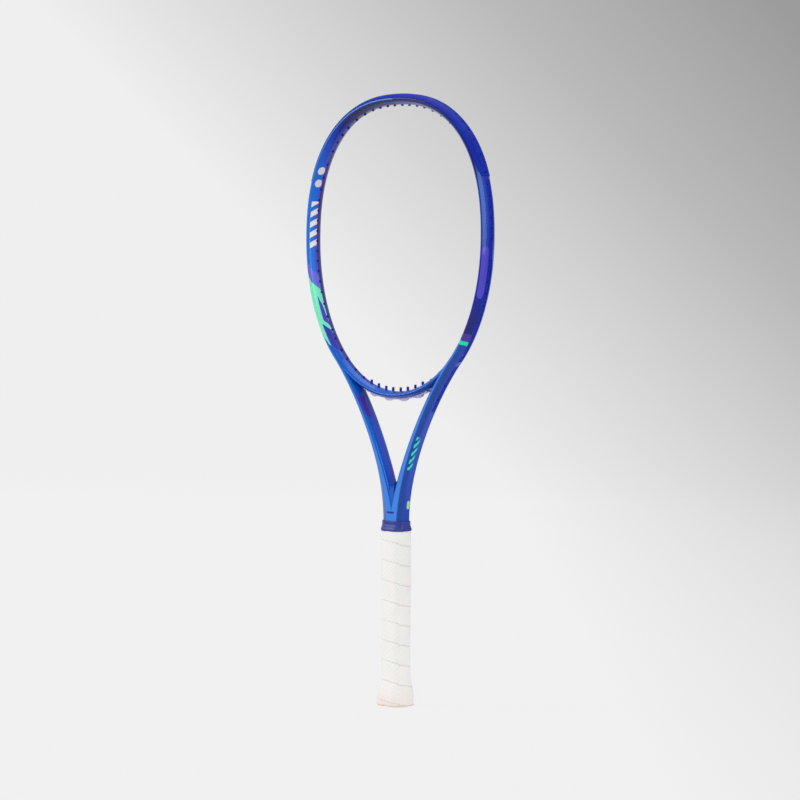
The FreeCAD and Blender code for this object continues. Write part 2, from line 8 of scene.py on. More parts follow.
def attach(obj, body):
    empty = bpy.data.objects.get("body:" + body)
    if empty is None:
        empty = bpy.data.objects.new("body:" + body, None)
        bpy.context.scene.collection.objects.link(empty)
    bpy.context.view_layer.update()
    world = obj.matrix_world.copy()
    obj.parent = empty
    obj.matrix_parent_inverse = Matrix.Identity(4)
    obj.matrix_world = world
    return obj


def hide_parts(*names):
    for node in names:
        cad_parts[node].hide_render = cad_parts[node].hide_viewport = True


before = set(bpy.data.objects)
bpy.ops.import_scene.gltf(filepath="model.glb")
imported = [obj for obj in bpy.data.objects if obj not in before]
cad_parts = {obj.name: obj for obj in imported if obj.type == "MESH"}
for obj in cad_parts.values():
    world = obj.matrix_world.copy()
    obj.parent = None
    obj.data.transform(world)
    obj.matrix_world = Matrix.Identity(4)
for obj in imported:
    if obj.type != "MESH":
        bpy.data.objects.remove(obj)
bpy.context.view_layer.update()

# ---- the carbon tube ---------------------------------------------------------
# Hoop, both arms and the shaft are one hollow tube of carbon laminate, bent like
# a hairpin and moulded under pressure, then painted in pearl lacquer under a
# clear coat.  A groove for the grommet strips runs round its outer side.

HALF_WIDTH, RISE, DROP = .1214, .1483, .1716      # string opening about its widest height
TOP_POWER, LOW_POWER = 2.32, 2.05                 # superellipse powers
WIDEST, LEAVE = .5255, .3966                      # widest height, and where the arms leave
BEAM = .0111                                      # tube size in the string plane
HOOP_DEPTH, THROAT_DEPTH, SHAFT_DEPTH = .0112, .01105, .00905  # half sizes through it
CROTCH, SHAFT_TOP, SHAFT_HALF = .2385, .2097, .01505
LEG_HALF, LEG_END = .0124, .0110
GROOVE_HALF, GROOVE_DEPTH = .0031, .00125
GUARD_LOW, SHOULDER_LOW = .5884, .3333            # lower ends of the guard and shoulder strips


def hoop(angle):
    """Inner wall of the hoop and its outward normal, as (x, z).
    The wall is the superellipse |x / half width|^n + |z / height|^n = 1 about the
    widest height; the normal is its gradient."""
    c, s = np.cos(angle), np.sin(angle)
    n = np.where(s >= 0, TOP_POWER, LOW_POWER)
    b = np.where(s >= 0, RISE, DROP)
    r = (abs(c) ** n + abs(s) ** n) ** (-1 / n)
    point = np.stack([HALF_WIDTH * c * r, WIDEST + b * s * r], -1)
    normal = np.stack([np.sign(c) * abs(c * r) ** (n - 1) / HALF_WIDTH,
                       np.sign(s) * abs(s * r) ** (n - 1) / b], -1)
    return point, normal / np.linalg.norm(normal, axis=-1, keepdims=True)


def angle_at_z(z):
    """Hoop angle at a height: the superellipse solved for x at that z, right half."""
    z = np.asarray(z, float) - WIDEST
    n, b = np.where(z >= 0, TOP_POWER, LOW_POWER), np.where(z >= 0, RISE, DROP)
    return np.arctan2(z / b, (1 - abs(z / b) ** n) ** (1 / n))


def angle_at_x(x, upper):
    """Hoop angle at a distance from the middle: the superellipse solved for z."""
    n = TOP_POWER if upper else LOW_POWER
    share = np.asarray(x, float) / HALF_WIDTH
    rise = (1 - abs(share) ** n) ** (1 / n)
    return np.arctan2(rise if upper else -rise, share)


LEAVE_ANGLE = float(angle_at_z(LEAVE))


def bezier(controls, s):
    """Cubic curve through the first and last of four points, at shares s."""
    a, b, c, d = controls
    s, t = s[:, None], 1 - s[:, None]
    return a * t ** 3 + b * (3 * t * t * s) + c * (3 * t * s * s) + d * s ** 3


def arm_curves():
    """Control points of the right arm's inner and outer lines.
    Both start square to the hoop, turned 2.8 degrees outward; the inner one ends
    leaning 12.8 degrees through the crotch, the outer one straight up."""
    start, normal = hoop(np.array(LEAVE_ANGLE))
    turn, lean = math.radians(2.8), math.radians(12.8)
    along = np.array([normal[1], -normal[0]])
    turned = np.array([along[0] * math.cos(turn) + along[1] * math.sin(turn),
                       -along[0] * math.sin(turn) + along[1] * math.cos(turn)])
    fall = np.array([-math.sin(lean), -math.cos(lean)])
    foot = np.array([-(CROTCH - SHAFT_TOP) * math.tan(lean), SHAFT_TOP])
    side, edge = start + normal * BEAM, np.array([SHAFT_HALF, SHAFT_TOP])
    return ((start, start + turned * .0620, foot - fall * .0634, foot),
            (side, side + turned * .0436, edge + np.array([0, .0669]), edge))


ARM_INNER, ARM_OUTER = arm_curves()
HOOP_PROFILE = np.array([(-1, .31), (-.42, .865), (-.05, 1), (.2, 1), (.75, .62), (1, .33)])


def shaft_profile():
    """Front half of the shaft's outline, as shares of the half width and half depth."""
    inner = ARM_INNER[3][0]
    share = lambda x: (x - (inner + SHAFT_HALF) / 2) / ((SHAFT_HALF - inner) / 2)
    return np.array([(-1, .5), (share(inner * .68), .9), (share(inner * .25), 1), (share(.00765), 1),
                     (share((.00765 + SHAFT_HALF) / 2), .775), (1, .55)])


SHAFT_PROFILE = shaft_profile()


def station(p):
    """Inner point, outer point, half depth and outline shares of the tube at p.
    p is 0 at the top of the hoop, 1 where the arm leaves it, 2 at the shaft's top and
    3 at the leg's end; outline and depth ease from hoop to shaft as s*s*(3 - 2s)."""
    angle = math.pi / 2 + (LEAVE_ANGLE - math.pi / 2) * np.minimum(p, 1)
    inner, normal = hoop(angle)
    outer = inner + normal * BEAM
    fall = np.clip(np.sin(angle) / math.sin(LEAVE_ANGLE), 0, 1)
    s = np.clip(p - 1, 0, 1)
    ease = s * s * (3 - 2 * s)
    depth = HOOP_DEPTH + (THROAT_DEPTH - HOOP_DEPTH) * fall + (SHAFT_DEPTH - THROAT_DEPTH) * ease
    on_arm = (p > 1)[:, None]
    inner, outer = np.where(on_arm, bezier(ARM_INNER, s), inner), np.where(on_arm, bezier(ARM_OUTER, s), outer)
    below = np.clip(p - 2, 0, 1) * (SHAFT_TOP - LEG_END)
    slim = np.clip((below - .0134) / .010, 0, 1)
    inner = inner - np.stack([below * 0, below], -1)
    outer = outer - np.stack([slim * (SHAFT_HALF - LEG_HALF), below], -1)
    shares = HOOP_PROFILE + (SHAFT_PROFILE - HOOP_PROFILE) * ease[:, None, None]
    return inner, outer, depth - slim * .0008, shares


def rounded(corners, cut, flats, arc=(0, 1 / 3, 2 / 3, 1)):
    """Closed outlines with rounded corners, and each point's place (corner k is at k).
    A corner is the quadratic curve from `cut` before it to `cut` after it; flats
    holds, for each edge, the shares along it that get a point of their own."""
    before, after = np.roll(corners, 1, 1) - corners, np.roll(corners, -1, 1) - corners
    a, b = (np.maximum(np.linalg.norm(edge, axis=-1), 1e-9) for edge in (before, after))
    cut = np.minimum(cut, .45 * np.minimum(a, b))
    start, stop = corners + before * (cut / a)[..., None], corners + after * (cut / b)[..., None]
    columns, place = [], []
    for k in range(corners.shape[1]):
        for t in arc:
            columns.append(start[:, k] * (1 - t) ** 2 + corners[:, k] * (2 * t * (1 - t)) + stop[:, k] * t * t)
            place.append(k + (t - .5) * .3)
        for t in flats[k]:
            columns.append(stop[:, k] * (1 - t) + start[:, (k + 1) % corners.shape[1]] * t)
            place.append(k + .15 + .7 * t)
    return np.stack(columns, 1), np.array(place)


def quads(rows, cols, around=True, along=False):
    """Corner indices of the quads between neighbours of a grid, row by row."""
    i, j = np.arange(rows if along else rows - 1)[:, None], np.arange(cols if around else cols - 1)
    i2, j2 = (i + 1) % rows, (j + 1) % cols
    corners = np.broadcast_arrays(i * cols + j, i * cols + j2, i2 * cols + j2, i2 * cols + j)
    return np.stack(corners, -1).reshape(-1, 4)


def quad_uv(uv):
    """UV corners in the order of quads(), from a grid one longer on each closed side."""
    return np.stack([uv[:-1, :-1], uv[:-1, 1:], uv[1:, 1:], uv[1:, :-1]], 2).reshape(-1, 2)


def piece(name, points, faces, uv=None):
    """Mesh object made from a vertex array and a quad array."""
    mesh = bpy.data.meshes.new(name)
    mesh.from_pydata(points.reshape(-1, 3).tolist(), [], faces.tolist())
    if uv is not None:
        mesh.uv_layers.new(name="surface").data.foreach_set("uv", uv.astype(np.float32).ravel())
    made = bpy.data.objects.new(name, mesh)
    bpy.context.scene.collection.objects.link(made)
    return made


def tidy(made, half=False, sharp=38, planes=()):
    """Welds doubles, trims at planes, adds a right half's left-hand twin, closes the
    ends, turns the faces outward and marks edges sharper than an angle."""
    bm = bmesh.new()
    bm.from_mesh(made.data)
    bmesh.ops.remove_doubles(bm, verts=bm.verts, dist=1e-6)
    for place, way in planes + (((0, 0, 0), (-1, 0, 0)),) * half:
        bmesh.ops.bisect_plane(bm, geom=bm.verts[:] + bm.edges[:] + bm.faces[:], dist=1e-7,
                               plane_co=place, plane_no=way, clear_outer=True)
    if half:
        twin = bmesh.ops.duplicate(bm, geom=bm.verts[:] + bm.edges[:] + bm.faces[:])["geom"]
        bmesh.ops.scale(bm, vec=(-1, 1, 1), verts=[e for e in twin if isinstance(e, bmesh.types.BMVert)])
        bmesh.ops.reverse_faces(bm, faces=[e for e in twin if isinstance(e, bmesh.types.BMFace)])
        bmesh.ops.remove_doubles(bm, verts=bm.verts, dist=4e-6)
    bmesh.ops.dissolve_degenerate(bm, dist=1e-6, edges=bm.edges)
    bmesh.ops.holes_fill(bm, edges=[e for e in bm.edges if e.is_boundary], sides=0)
    bmesh.ops.recalc_face_normals(bm, faces=bm.faces)
    bm.to_mesh(made.data)
    bm.free()
    made.data.shade_smooth()
    made.data.set_sharp_from_angle(angle=math.radians(sharp))
    return made


def lifted(flat, y=0.0):
    """(x, z) points moved into space at a depth y."""
    return np.stack([flat[..., 0], np.zeros_like(flat[..., 0]) + y, flat[..., 1]], -1)


def swept(inner, outer, outline):
    """Outline points (distance from the inner line, depth) carried along two lines."""
    across = outer - inner
    across = across / np.linalg.norm(across, axis=-1, keepdims=True)
    flat = inner[:, None] + across[:, None] * outline[..., :1]
    return np.stack([flat[..., 0], outline[..., 1], flat[..., 1]], -1)


def front_corners(inner, outer, depth, shares):
    """The outline's front corners as (distance from the inner line, depth)."""
    width = np.linalg.norm(outer - inner, axis=-1)[:, None]
    return np.stack([(shares[..., 0] + 1) / 2 * width, -shares[..., 1] * depth[:, None]], -1)


def facet_of(place, count):
    """Facet coordinate from the place round an outline of `count` corners: 0 on the
    inner wall's middle, rising over the front's corners, falling below it at the back."""
    front = np.where(place < 0, 1 + 2 * place, place + 1)
    back = np.where(place > count - 1, 2 * place - (2 * count - 1), place - count)
    return np.where(place > (count - 1) / 2, back, front)


def tube_outline(p):
    """Rounded closed outline of the tube with its groove, and its facet coordinate:
    0 on the inner wall's middle, 1 to 6 at the front corners, 7 and 8 at the groove,
    the same below zero at the back."""
    inner, outer, depth, shares = station(p)
    front = front_corners(inner, outer, depth, shares)
    width = np.linalg.norm(outer - inner, axis=-1)
    z = outer[:, 1]
    ramp = lambda low, high: np.clip((z - low) / (high - low), 0, 1)
    deep = GROOVE_DEPTH * ramp(SHOULDER_LOW - .001, SHOULDER_LOW + .001)
    deep = deep * (1 - ramp(GUARD_LOW - .002, GUARD_LOW)) + 2e-6
    brink = 0 * width - GROOVE_HALF
    lip = np.stack([np.stack([width, brink], -1), np.stack([width - deep, brink], -1)], 1)
    front = np.concatenate([front, lip], 1)
    corners = np.concatenate([front, front[:, ::-1] * [1, -1]], 1)
    cut = np.array([1.5, 1.6, 1.0, .8, 1.1, .6, .2, .3] * 2) / 1000
    cut[8:] = cut[:8][::-1]
    edges = [(.35, .7), (.5,), (.5,), (.35, .7), (.5,), (), (), (.499, .501),
             (), (), (.5,), (.35, .7), (.5,), (.5,), (.35, .7), (.25, .5, .75)]
    outline, place = rounded(corners, cut, edges)
    return inner, outer, outline, facet_of(np.append(place, place[0] + 16), 16)


def tube():
    """The tube as a grid: stations along the right half by outline points around it."""
    height = np.array([.2060, .2000, .1963, .1930, .1900, .1863, .15, .10, .05, LEG_END])
    low = 2 + (SHAFT_TOP - height) / (SHAFT_TOP - LEG_END)
    p = np.concatenate([np.linspace(0, 1, 230), np.linspace(1, 2, 131)[1:], low])
    inner, outer, outline, facet = tube_outline(p)
    gap = np.linalg.norm(np.diff((inner + outer) / 2, axis=0), axis=-1)
    along = np.concatenate([[0], np.cumsum(gap)])
    uv = np.stack(np.broadcast_arrays(along[:, None], facet), -1)
    points = swept(inner, outer, outline)
    return piece("frame_tube", points, quads(*points.shape[:2]), quad_uv(uv))


def string_way(angle, way, stand, over):
    """Barrel lines through the hoop wall, from the inner tip to the outer end.
    They follow the string where it leans under 20 degrees from the wall's normal,
    and the normal where it leans more."""
    point, normal = hoop(angle)
    way = np.where(((normal * way).sum(-1) < math.cos(math.radians(20)))[:, None], normal, way)
    reach = BEAM / (normal * way).sum(-1, keepdims=True)
    return np.stack([lifted(point - way * stand), lifted(point + way * (reach + over))], 1)


MAIN_X = np.cumsum([5.5, 10.3, 10.9, 10.6, 12.1, 12.3, 12.7, 8.7]) / 1000
CROSS_GAPS = np.cumsum([11.5, 11.6, 11.6, 11.9, 12.3, 13.5, 14.5, 15.0, 9.9]) / 1000
CROSS_Z = WIDEST - .0023 + np.concatenate([-CROSS_GAPS[::-1], [0], CROSS_GAPS])
HEAD_LINES = string_way(angle_at_x(MAIN_X, True), np.array([0, 1.0]), .0015, .0002)
CROSS_LINES = string_way(angle_at_z(CROSS_Z), np.array([1.0, 0]), .0007, -.0004)


def bridge_width(angle):
    """Bridge thickness: 7.8 mm at the middle, growing to the beam's as (cos t / cos t0)^2 squared."""
    share = np.minimum(1, abs(np.cos(angle)) / math.cos(LEAVE_ANGLE)) ** 2
    return .0078 + (BEAM - .0078) * share


def bridge_string_lines():
    """Upright barrel lines of the four middle mains of a side, through the bridge."""
    angle = angle_at_x(MAIN_X[:4], False)
    point, normal = hoop(angle)
    reach = bridge_width(angle) / -normal[:, 1] + .0012
    up = np.array([0, 1.0])
    return np.stack([lifted(point + up * .0044), lifted(point - up * reach[:, None])], 1)


def shoulder_string_lines():
    """Slanting barrel lines of the outer four mains, out through the arm's side."""
    point = hoop(angle_at_x(MAIN_X[:3:-1], False))[0]
    p = np.linspace(1, 2, 4001)
    outer = station(p)[1]
    out = outer[[int(abs(outer[:, 1] - z).argmin()) for z in (.3907, .3766, .3615, .3454)]]
    way = (out - point) / np.linalg.norm(out - point, axis=-1, keepdims=True)
    return np.stack([lifted(point - way * .0015), lifted(out - way * .0004)], 1)


BRIDGE_LINES, SHOULDER_LINES = bridge_string_lines(), shoulder_string_lines()


def both(lines):
    """Right-hand lines and their left-hand twins."""
    return np.concatenate([lines, lines * [-1, 1, 1]])


def turned(lines, radius, reach, sides, loop):
    """Each line's profile spun about it: start + way * reach + radius * (cos, sin).
    radius and reach hold one value per profile point; reach may differ by line."""
    start, way = lines[:, 0], lines[:, 1] - lines[:, 0]
    way = way / np.linalg.norm(way, axis=-1, keepdims=True)
    first = np.broadcast_to([0, 1.0, 0], way.shape)
    second = np.cross(way, first)
    turn = np.linspace(0, 2 * math.pi, sides, endpoint=False)
    ring = first[:, None] * np.cos(turn)[:, None] + second[:, None] * np.sin(turn)[:, None]
    centre = start[:, None, None] + way[:, None, None] * reach[..., None, None]
    points = centre + ring[:, None] * radius[:, None, None]
    one = quads(len(radius), sides, along=loop)
    faces = (one + np.arange(len(lines))[:, None, None] * len(radius) * sides).reshape(-1, 4)
    return points, faces


def drilled(made, lines, radius, past):
    """Round holes along string lines, taken from a piece."""
    length = np.linalg.norm(lines[:, 1] - lines[:, 0], axis=-1)[:, None]
    reach = np.concatenate([length * 0 - past, length * 0 - past, length + past, length + past], 1)
    cutter = tidy(piece("drill", *turned(lines, np.array([0, radius, radius, 0]), reach, 16, False)))
    hole = made.modifiers.new("holes", "BOOLEAN")
    hole.object, hole.operation, hole.solver = cutter, "DIFFERENCE", "EXACT"
    ready = bpy.context.evaluated_depsgraph_get()
    mesh = bpy.data.meshes.new_from_object(made.evaluated_get(ready), depsgraph=ready)
    made.modifiers.clear()
    made.data = mesh
    bpy.data.objects.remove(cutter)
    made.data.set_sharp_from_angle(angle=math.radians(38))
    return made


def crotch_web():
    """The moulded web that rounds the crotch off: an upright outline through the depth."""
    right = np.array([(0, 7.3), (.8, 7.5), (1.5, 8.1), (2.0, 8.8),
                      (2.4, 9.7), (3.3, 13.6), (2.4, -2.5), (1.2, -22.5)]) / 1000
    flat = np.concatenate([right, right[:0:-1] * [-1, 1]]) + [0, CROTCH]
    depth = np.array([-.00825, -.0081, .0081, .00825])[:, None]
    shrink = np.array([.94, 1, 1, .94])[:, None, None]
    points = lifted(flat * np.where([1, 0], shrink, 1), depth)
    web = tidy(piece("crotch_web", points, quads(4, len(flat))))
    uv = np.tile([.52, 1.5], len(web.data.loops)).astype(np.float32)
    web.data.uv_layers.new(name="surface").data.foreach_set("uv", uv)
    return web


def joined(first, second):
    """Two meshes made one object."""
    with bpy.context.temp_override(active_object=first, object=first, selected_objects=[first, second],
                                   selected_editable_objects=[first, second]):
        bpy.ops.object.join()
    return first


frame_tube = tidy(tube(), half=True)
frame_tube = drilled(frame_tube, both(np.concatenate([HEAD_LINES, CROSS_LINES, SHOULDER_LINES])), .00125, .004)
frame_tube = joined(frame_tube, crotch_web())


def colour(code):
    """A web colour as the linear RGBA that shaders take."""
    part = np.array([int(code[i:i + 2], 16) for i in (1, 3, 5)]) / 255
    return (*np.where(part <= .04045, part / 12.92, ((part + .055) / 1.055) ** 2.4), 1.0)


def add(tree, kind, inputs=None, **settings):
    """One shader node, with its settings and its input values or links."""
    made = tree.nodes.new(kind)
    for name, value in settings.items():
        setattr(made, name, value)
    for name, value in (inputs or {}).items():
        if isinstance(value, bpy.types.NodeSocket):
            tree.links.new(value, made.inputs[name])
        else:
            made.inputs[name].default_value = value
    return made


def calc(tree, operation, *values):
    """Result of a Math node."""
    return add(tree, "ShaderNodeMath", dict(enumerate(values)), operation=operation).outputs[0]


def step(tree, value, at, soft):
    """0 below a value and 1 above it, eased over twice `soft`."""
    return add(tree, "ShaderNodeMapRange", {"Value": value, "From Min": at - soft, "From Max": at + soft},
               interpolation_type="SMOOTHSTEP").outputs[0]


def own_place(tree):
    """x, y and z of the shaded point in its piece's own frame."""
    place = add(tree, "ShaderNodeTexCoord").outputs["Object"]
    return add(tree, "ShaderNodeSeparateXYZ", {"Vector": place}).outputs


def between(tree, value, low, high, soft):
    """1 between two values."""
    not_past = calc(tree, "SUBTRACT", 1.0, step(tree, value, high, soft))
    return calc(tree, "MULTIPLY", step(tree, value, low, soft), not_past)


def mixed(tree, share, a, b):
    """Colour a where share is 0, colour b where it is 1."""
    made = add(tree, "ShaderNodeMix", data_type="RGBA")
    for index, value in ((0, share), (6, a), (7, b)):
        if isinstance(value, bpy.types.NodeSocket):
            tree.links.new(value, made.inputs[index])
        else:
            made.inputs[index].default_value = value
    return made.outputs[2]


def material(name, **constants):
    """A material with a Principled shader, its constants set on the shader itself."""
    made = bpy.data.materials.new(name)
    made.use_nodes = True
    shader = made.node_tree.nodes["Principled BSDF"]
    for socket, value in constants.items():
        shader.inputs[socket.replace("_", " ")].default_value = value
    return made, made.node_tree, shader


def group(name, inputs, outputs):
    """An empty node group with float inputs (name and default) and typed outputs."""
    made = bpy.data.node_groups.new(name, "ShaderNodeTree")
    for label, value in inputs.items():
        made.interface.new_socket(label, in_out="INPUT", socket_type="NodeSocketFloat").default_value = value
    for label, kind in outputs.items():
        made.interface.new_socket(label, in_out="OUTPUT", socket_type="NodeSocket" + kind)
    return made, made.nodes.new("NodeGroupInput"), made.nodes.new("NodeGroupOutput")


def placed(tree, node_group, values):
    """The group's node, its inputs set."""
    made = tree.nodes.new("ShaderNodeGroup")
    made.node_tree = node_group
    for name, value in values.items():
        made.inputs[name].default_value = value
    return made


def lacquer_flakes():
    """Pearl flakes and orange peel: cell noise gives each flake its own brightness,
    two fine noises give the slight ripple of sprayed lacquer."""
    tree, ins, outs = group("lacquer_flakes", {"Flake Size": .0004, "Ripple": .5},
                            {"Flake": "Float", "Height": "Float"})
    place = add(tree, "ShaderNodeTexCoord").outputs["Object"]
    scale = calc(tree, "DIVIDE", 1.0, ins.outputs["Flake Size"])
    cells = add(tree, "ShaderNodeTexVoronoi", {"Vector": place, "Scale": scale}, feature="F1")
    cloud = add(tree, "ShaderNodeTexNoise", {"Vector": place, "Scale": 45.0, "Detail": 3.0})
    peel = add(tree, "ShaderNodeTexNoise", {"Vector": place, "Scale": 420.0, "Detail": 2.0})
    spark = add(tree, "ShaderNodeSeparateColor", {"Color": cells.outputs["Color"]}).outputs[0]
    flake = calc(tree, "ADD", calc(tree, "MULTIPLY", spark, .6), calc(tree, "MULTIPLY", cloud.outputs["Fac"], .4))
    tree.links.new(flake, outs.inputs["Flake"])
    tree.links.new(calc(tree, "MULTIPLY", peel.outputs["Fac"], ins.outputs["Ripple"]), outs.inputs["Height"])
    return tree


def handling_marks():
    """Faint rubs and dust: stretched noise cut off high, so only a few streaks stay."""
    tree, ins, outs = group("handling_marks", {"Amount": .5, "Size": .01}, {"Mask": "Float"})
    place = add(tree, "ShaderNodeTexCoord").outputs["Object"]
    scale = calc(tree, "DIVIDE", 1.0, ins.outputs["Size"])
    broad = add(tree, "ShaderNodeTexNoise", {"Vector": place, "Scale": scale, "Detail": 5.0, "Roughness": .7})
    fine = add(tree, "ShaderNodeTexNoise", {"Vector": place, "Scale": 900.0, "Detail": 2.0})
    rub = step(tree, broad.outputs["Fac"], .62, .10)
    dust = calc(tree, "MULTIPLY", fine.outputs["Fac"], .35)
    both_marks = calc(tree, "MULTIPLY", calc(tree, "ADD", rub, dust), ins.outputs["Amount"])
    tree.links.new(both_marks, outs.inputs["Mask"])
    return tree


FLAKES, MARKS = lacquer_flakes(), handling_marks()


def frame_paint():
    """Pearl blue with mint, violet and white panels.
    Panels are bounded by straight lines in height z and facet coordinate v, so each
    follows the tube; `left` is 1 on the side that is left as each face is seen."""
    made, tree, shader = material("frame_paint", Metallic=.10, Coat_Weight=.42, Coat_Roughness=.07,
                                  Specular_IOR_Level=.2, Sheen_Weight=.06, Sheen_Roughness=.3,
                                  Sheen_Tint=colour("#7a6cf0"))
    place = own_place(tree)
    uv = add(tree, "ShaderNodeUVMap", uv_map="surface").outputs["UV"]
    facet = add(tree, "ShaderNodeSeparateXYZ", {"Vector": uv}).outputs[1]
    v, z = calc(tree, "ABSOLUTE", facet), place[2]
    left = step(tree, calc(tree, "MULTIPLY", place[0], place[1]), 0.0, 1e-8)
    right = calc(tree, "SUBTRACT", 1.0, left)

    def area(side, *lines):
        """A panel on one side: the product of its boundaries' steps."""
        whole = side
        for item in lines:
            whole = calc(tree, "MULTIPLY", whole, item)
        return whole

    def under(at, slope, soft=.0004):
        """1 where z is under the line at + slope * v."""
        return step(tree, calc(tree, "SUBTRACT", calc(tree, "MULTIPLY_ADD", v, slope, at), z), 0.0, soft)

    def over(at, slope, soft=.0004):
        """1 where z is over the line."""
        return calc(tree, "SUBTRACT", 1.0, under(at, slope, soft))

    def inside(high):
        """1 on facets further in than a facet coordinate."""
        return calc(tree, "SUBTRACT", 1.0, step(tree, v, high, .06))

    def outside(low):
        """1 on facets further out than a facet coordinate."""
        return step(tree, v, low, .06)

    # distance over the surface from the inner wall's middle line, for round shapes
    reach = calc(tree, "ADD", calc(tree, "MULTIPLY", calc(tree, "MINIMUM", v, 1.0), .0034),
                 calc(tree, "MULTIPLY", calc(tree, "MAXIMUM", calc(tree, "SUBTRACT", v, 1.0), 0.0), .0069))

    def disc(at_z, at_reach, radius):
        """1 inside a circle drawn on the surface."""
        a, b = calc(tree, "SUBTRACT", z, at_z), calc(tree, "SUBTRACT", reach, at_reach)
        far = calc(tree, "SQRT", calc(tree, "ADD", calc(tree, "MULTIPLY", a, a), calc(tree, "MULTIPLY", b, b)))
        return calc(tree, "SUBTRACT", 1.0, step(tree, far, radius, .00025))

    def bars(at_slope, pitch, share):
        """Slanted stripes of a pitch."""
        slid = calc(tree, "MULTIPLY_ADD", reach, at_slope, z)
        phase = calc(tree, "FRACT", calc(tree, "DIVIDE", slid, pitch))
        return between(tree, phase, .03, share, .025)

    def pill(first, second, at_first, at_second, half, radius):
        """1 inside an upright bar with round ends, drawn in two coordinates."""
        a = calc(tree, "SUBTRACT", first, at_first)
        b = calc(tree, "ABSOLUTE", calc(tree, "SUBTRACT", second, at_second))
        b = calc(tree, "MAXIMUM", calc(tree, "SUBTRACT", b, half), 0.0)
        far = calc(tree, "SQRT", calc(tree, "ADD", calc(tree, "MULTIPLY", a, a), calc(tree, "MULTIPLY", b, b)))
        return calc(tree, "SUBTRACT", 1.0, step(tree, far, radius, .0003))

    # each facet has its own tone, inner wall to outer side: partly the pearl paint's own shift, partly painted light
    # (painted shade makes the inner facets darkest at the head's top; the right's crest is a painted dark
    # reflection)
    ramp = add(tree, "ShaderNodeValToRGB", {"Fac": calc(tree, "MULTIPLY_ADD", z, 5.0, -2.3)})
    stops = ramp.color_ramp.elements
    stops[0].color, stops[1].color = colour("#2c62c4"), colour("#1e1c58")
    for at, code in ((.13, "#3c7ae0"), (.50, "#3a78e0"), (.72, "#2e68d0"), (.84, "#1648b8"), (.93, "#08289c")):
        stops.new(at).color = colour(code)
    bevel = ramp.outputs["Color"]
    wall = mixed(tree, step(tree, z, .40, .02), colour("#3c50c0"), colour("#5a58cc"))
    # the inner wall turns dark above z 0.63: painted shade on the inner facets at the head's top
    wall = mixed(tree, step(tree, z, .63, .04), wall, colour("#2a2458"))
    # the crest's light blue is a painted highlight; its navy on the right above z 0.42 is a painted dark reflection
    crest_painted_light = mixed(tree, calc(tree, "MULTIPLY", right, step(tree, z, .42, .04)), colour("#4c8ae6"), colour("#0c2880"))
    # the facet by the guard's edge turns near black above the guard's lower end: painted shade in the gap under the
    # guard's edge
    gap = mixed(tree, step(tree, z, GUARD_LOW, .004), colour("#2c50a8"), colour("#120e48"))
    flank = mixed(tree, step(tree, z, .42, .06), colour("#12429c"), colour("#2450b0"))
    side = mixed(tree, step(tree, z, .40, .04), colour("#2c4cb8"), colour("#0220a4"))
    # the violet line near the outer side above z 0.40 is the pearl's violet sheen at a grazing angle, painted as
    # colour
    line = mixed(tree, step(tree, z, .40, .04), colour("#2a4cae"), colour("#4438c0"))
    paint = mixed(tree, step(tree, v, .95, .1), wall, bevel)
    for start, soft, coat in ((2.95, .1, crest_painted_light), (3.95, .06, gap), (4.25, .06, flank),
                              (5.5, .06, line), (5.8, .06, side)):
        paint = mixed(tree, step(tree, v, start, soft), paint, coat)
    panels = (
        (area(right, under(.5147, 0, .030), over(.4119, 0)), "#0c1ba2"),
        (area(right, under(.4502, 0, .022), over(.4119, 0)), "#0a1878"),
        (area(right, pill(calc(tree, "MULTIPLY", v, .008), z, .0396, .4870, .0215, .0070)), "#5650c4"),
        (area(right, under(.4245, -.001), over(.4164, -.001), outside(2.6)), "#4a3a98"),
        (area(right, under(.4164, -.001), over(.4124, -.001)), "#35e0b0"),
        (area(right, inside(2.0), over(.3373, 0, .02)), "#3c3684"),
        (area(left, under(.4804, .0057), over(.4643, .0054)), "#7077dc"),
        (area(left, under(.4643, .0054), over(.3897, .0070), inside(4.0)), "#86f2c6"),
        (area(left, under(.4537, .0040), under(.4292, .0220), over(.4235, .0056), inside(1.5)), "#5a50cc"),
        (area(left, under(.4174, .0056), over(.3897, .0070), inside(1.95)), "#4446b4"),
        (area(left, between(tree, reach, .0006, .0096, .0002), between(tree, z, .5150, .5681, .0004),
              bars(.55, .0118, .58)), "#f1eeec"),
        (area(left, disc(.6028, .0053, .0047)), "#2f5fc0"),
        (area(left, disc(.6028, .0053, .0043)), "#ddd8dc"),
        (area(left, disc(.5887, .0053, .0047)), "#2f5fc0"),
        (area(left, disc(.5887, .0053, .0043)), "#ddd8dc"),
        (area(left, under(.3474, 0), over(.3192, .0040), inside(2.1)), "#4a40a4"),
        (area(right, between(tree, v, 4.9, 6.6, .05), between(tree, z, .2668, .3040, .0004),
              bars(-.6, .0088, .55)), "#3fe0b4"),
        (area(outside(5.9), pill(place[1], z, .0016, .2267, .0024, .0024)), "#a6e88c"),
        (area(between(tree, v, 2.2, 4.3, .06), pill(z, place[0], .2180, -.0012, .0042, .0012)), "#27379c"),
    )
    for where, code in panels:
        paint = mixed(tree, where, paint, colour(code))
    flakes = placed(tree, FLAKES, {"Flake Size": .00035, "Ripple": .5})
    bright = add(tree, "ShaderNodeMapRange",
                 {"Value": flakes.outputs["Flake"], "To Min": .94, "To Max": 1.06}).outputs[0]
    lit = add(tree, "ShaderNodeHueSaturation", {"Color": paint, "Value": bright, "Saturation": 1.05})
    marks = placed(tree, MARKS, {"Amount": .12, "Size": .012})
    tree.links.new(lit.outputs["Color"], shader.inputs["Base Color"])
    rough = calc(tree, "MULTIPLY_ADD", marks.outputs["Mask"], .25, .30)
    tree.links.new(rough, shader.inputs["Roughness"])
    bump = add(tree, "ShaderNodeBump", {"Height": flakes.outputs["Height"], "Strength": .04, "Distance": .0002})
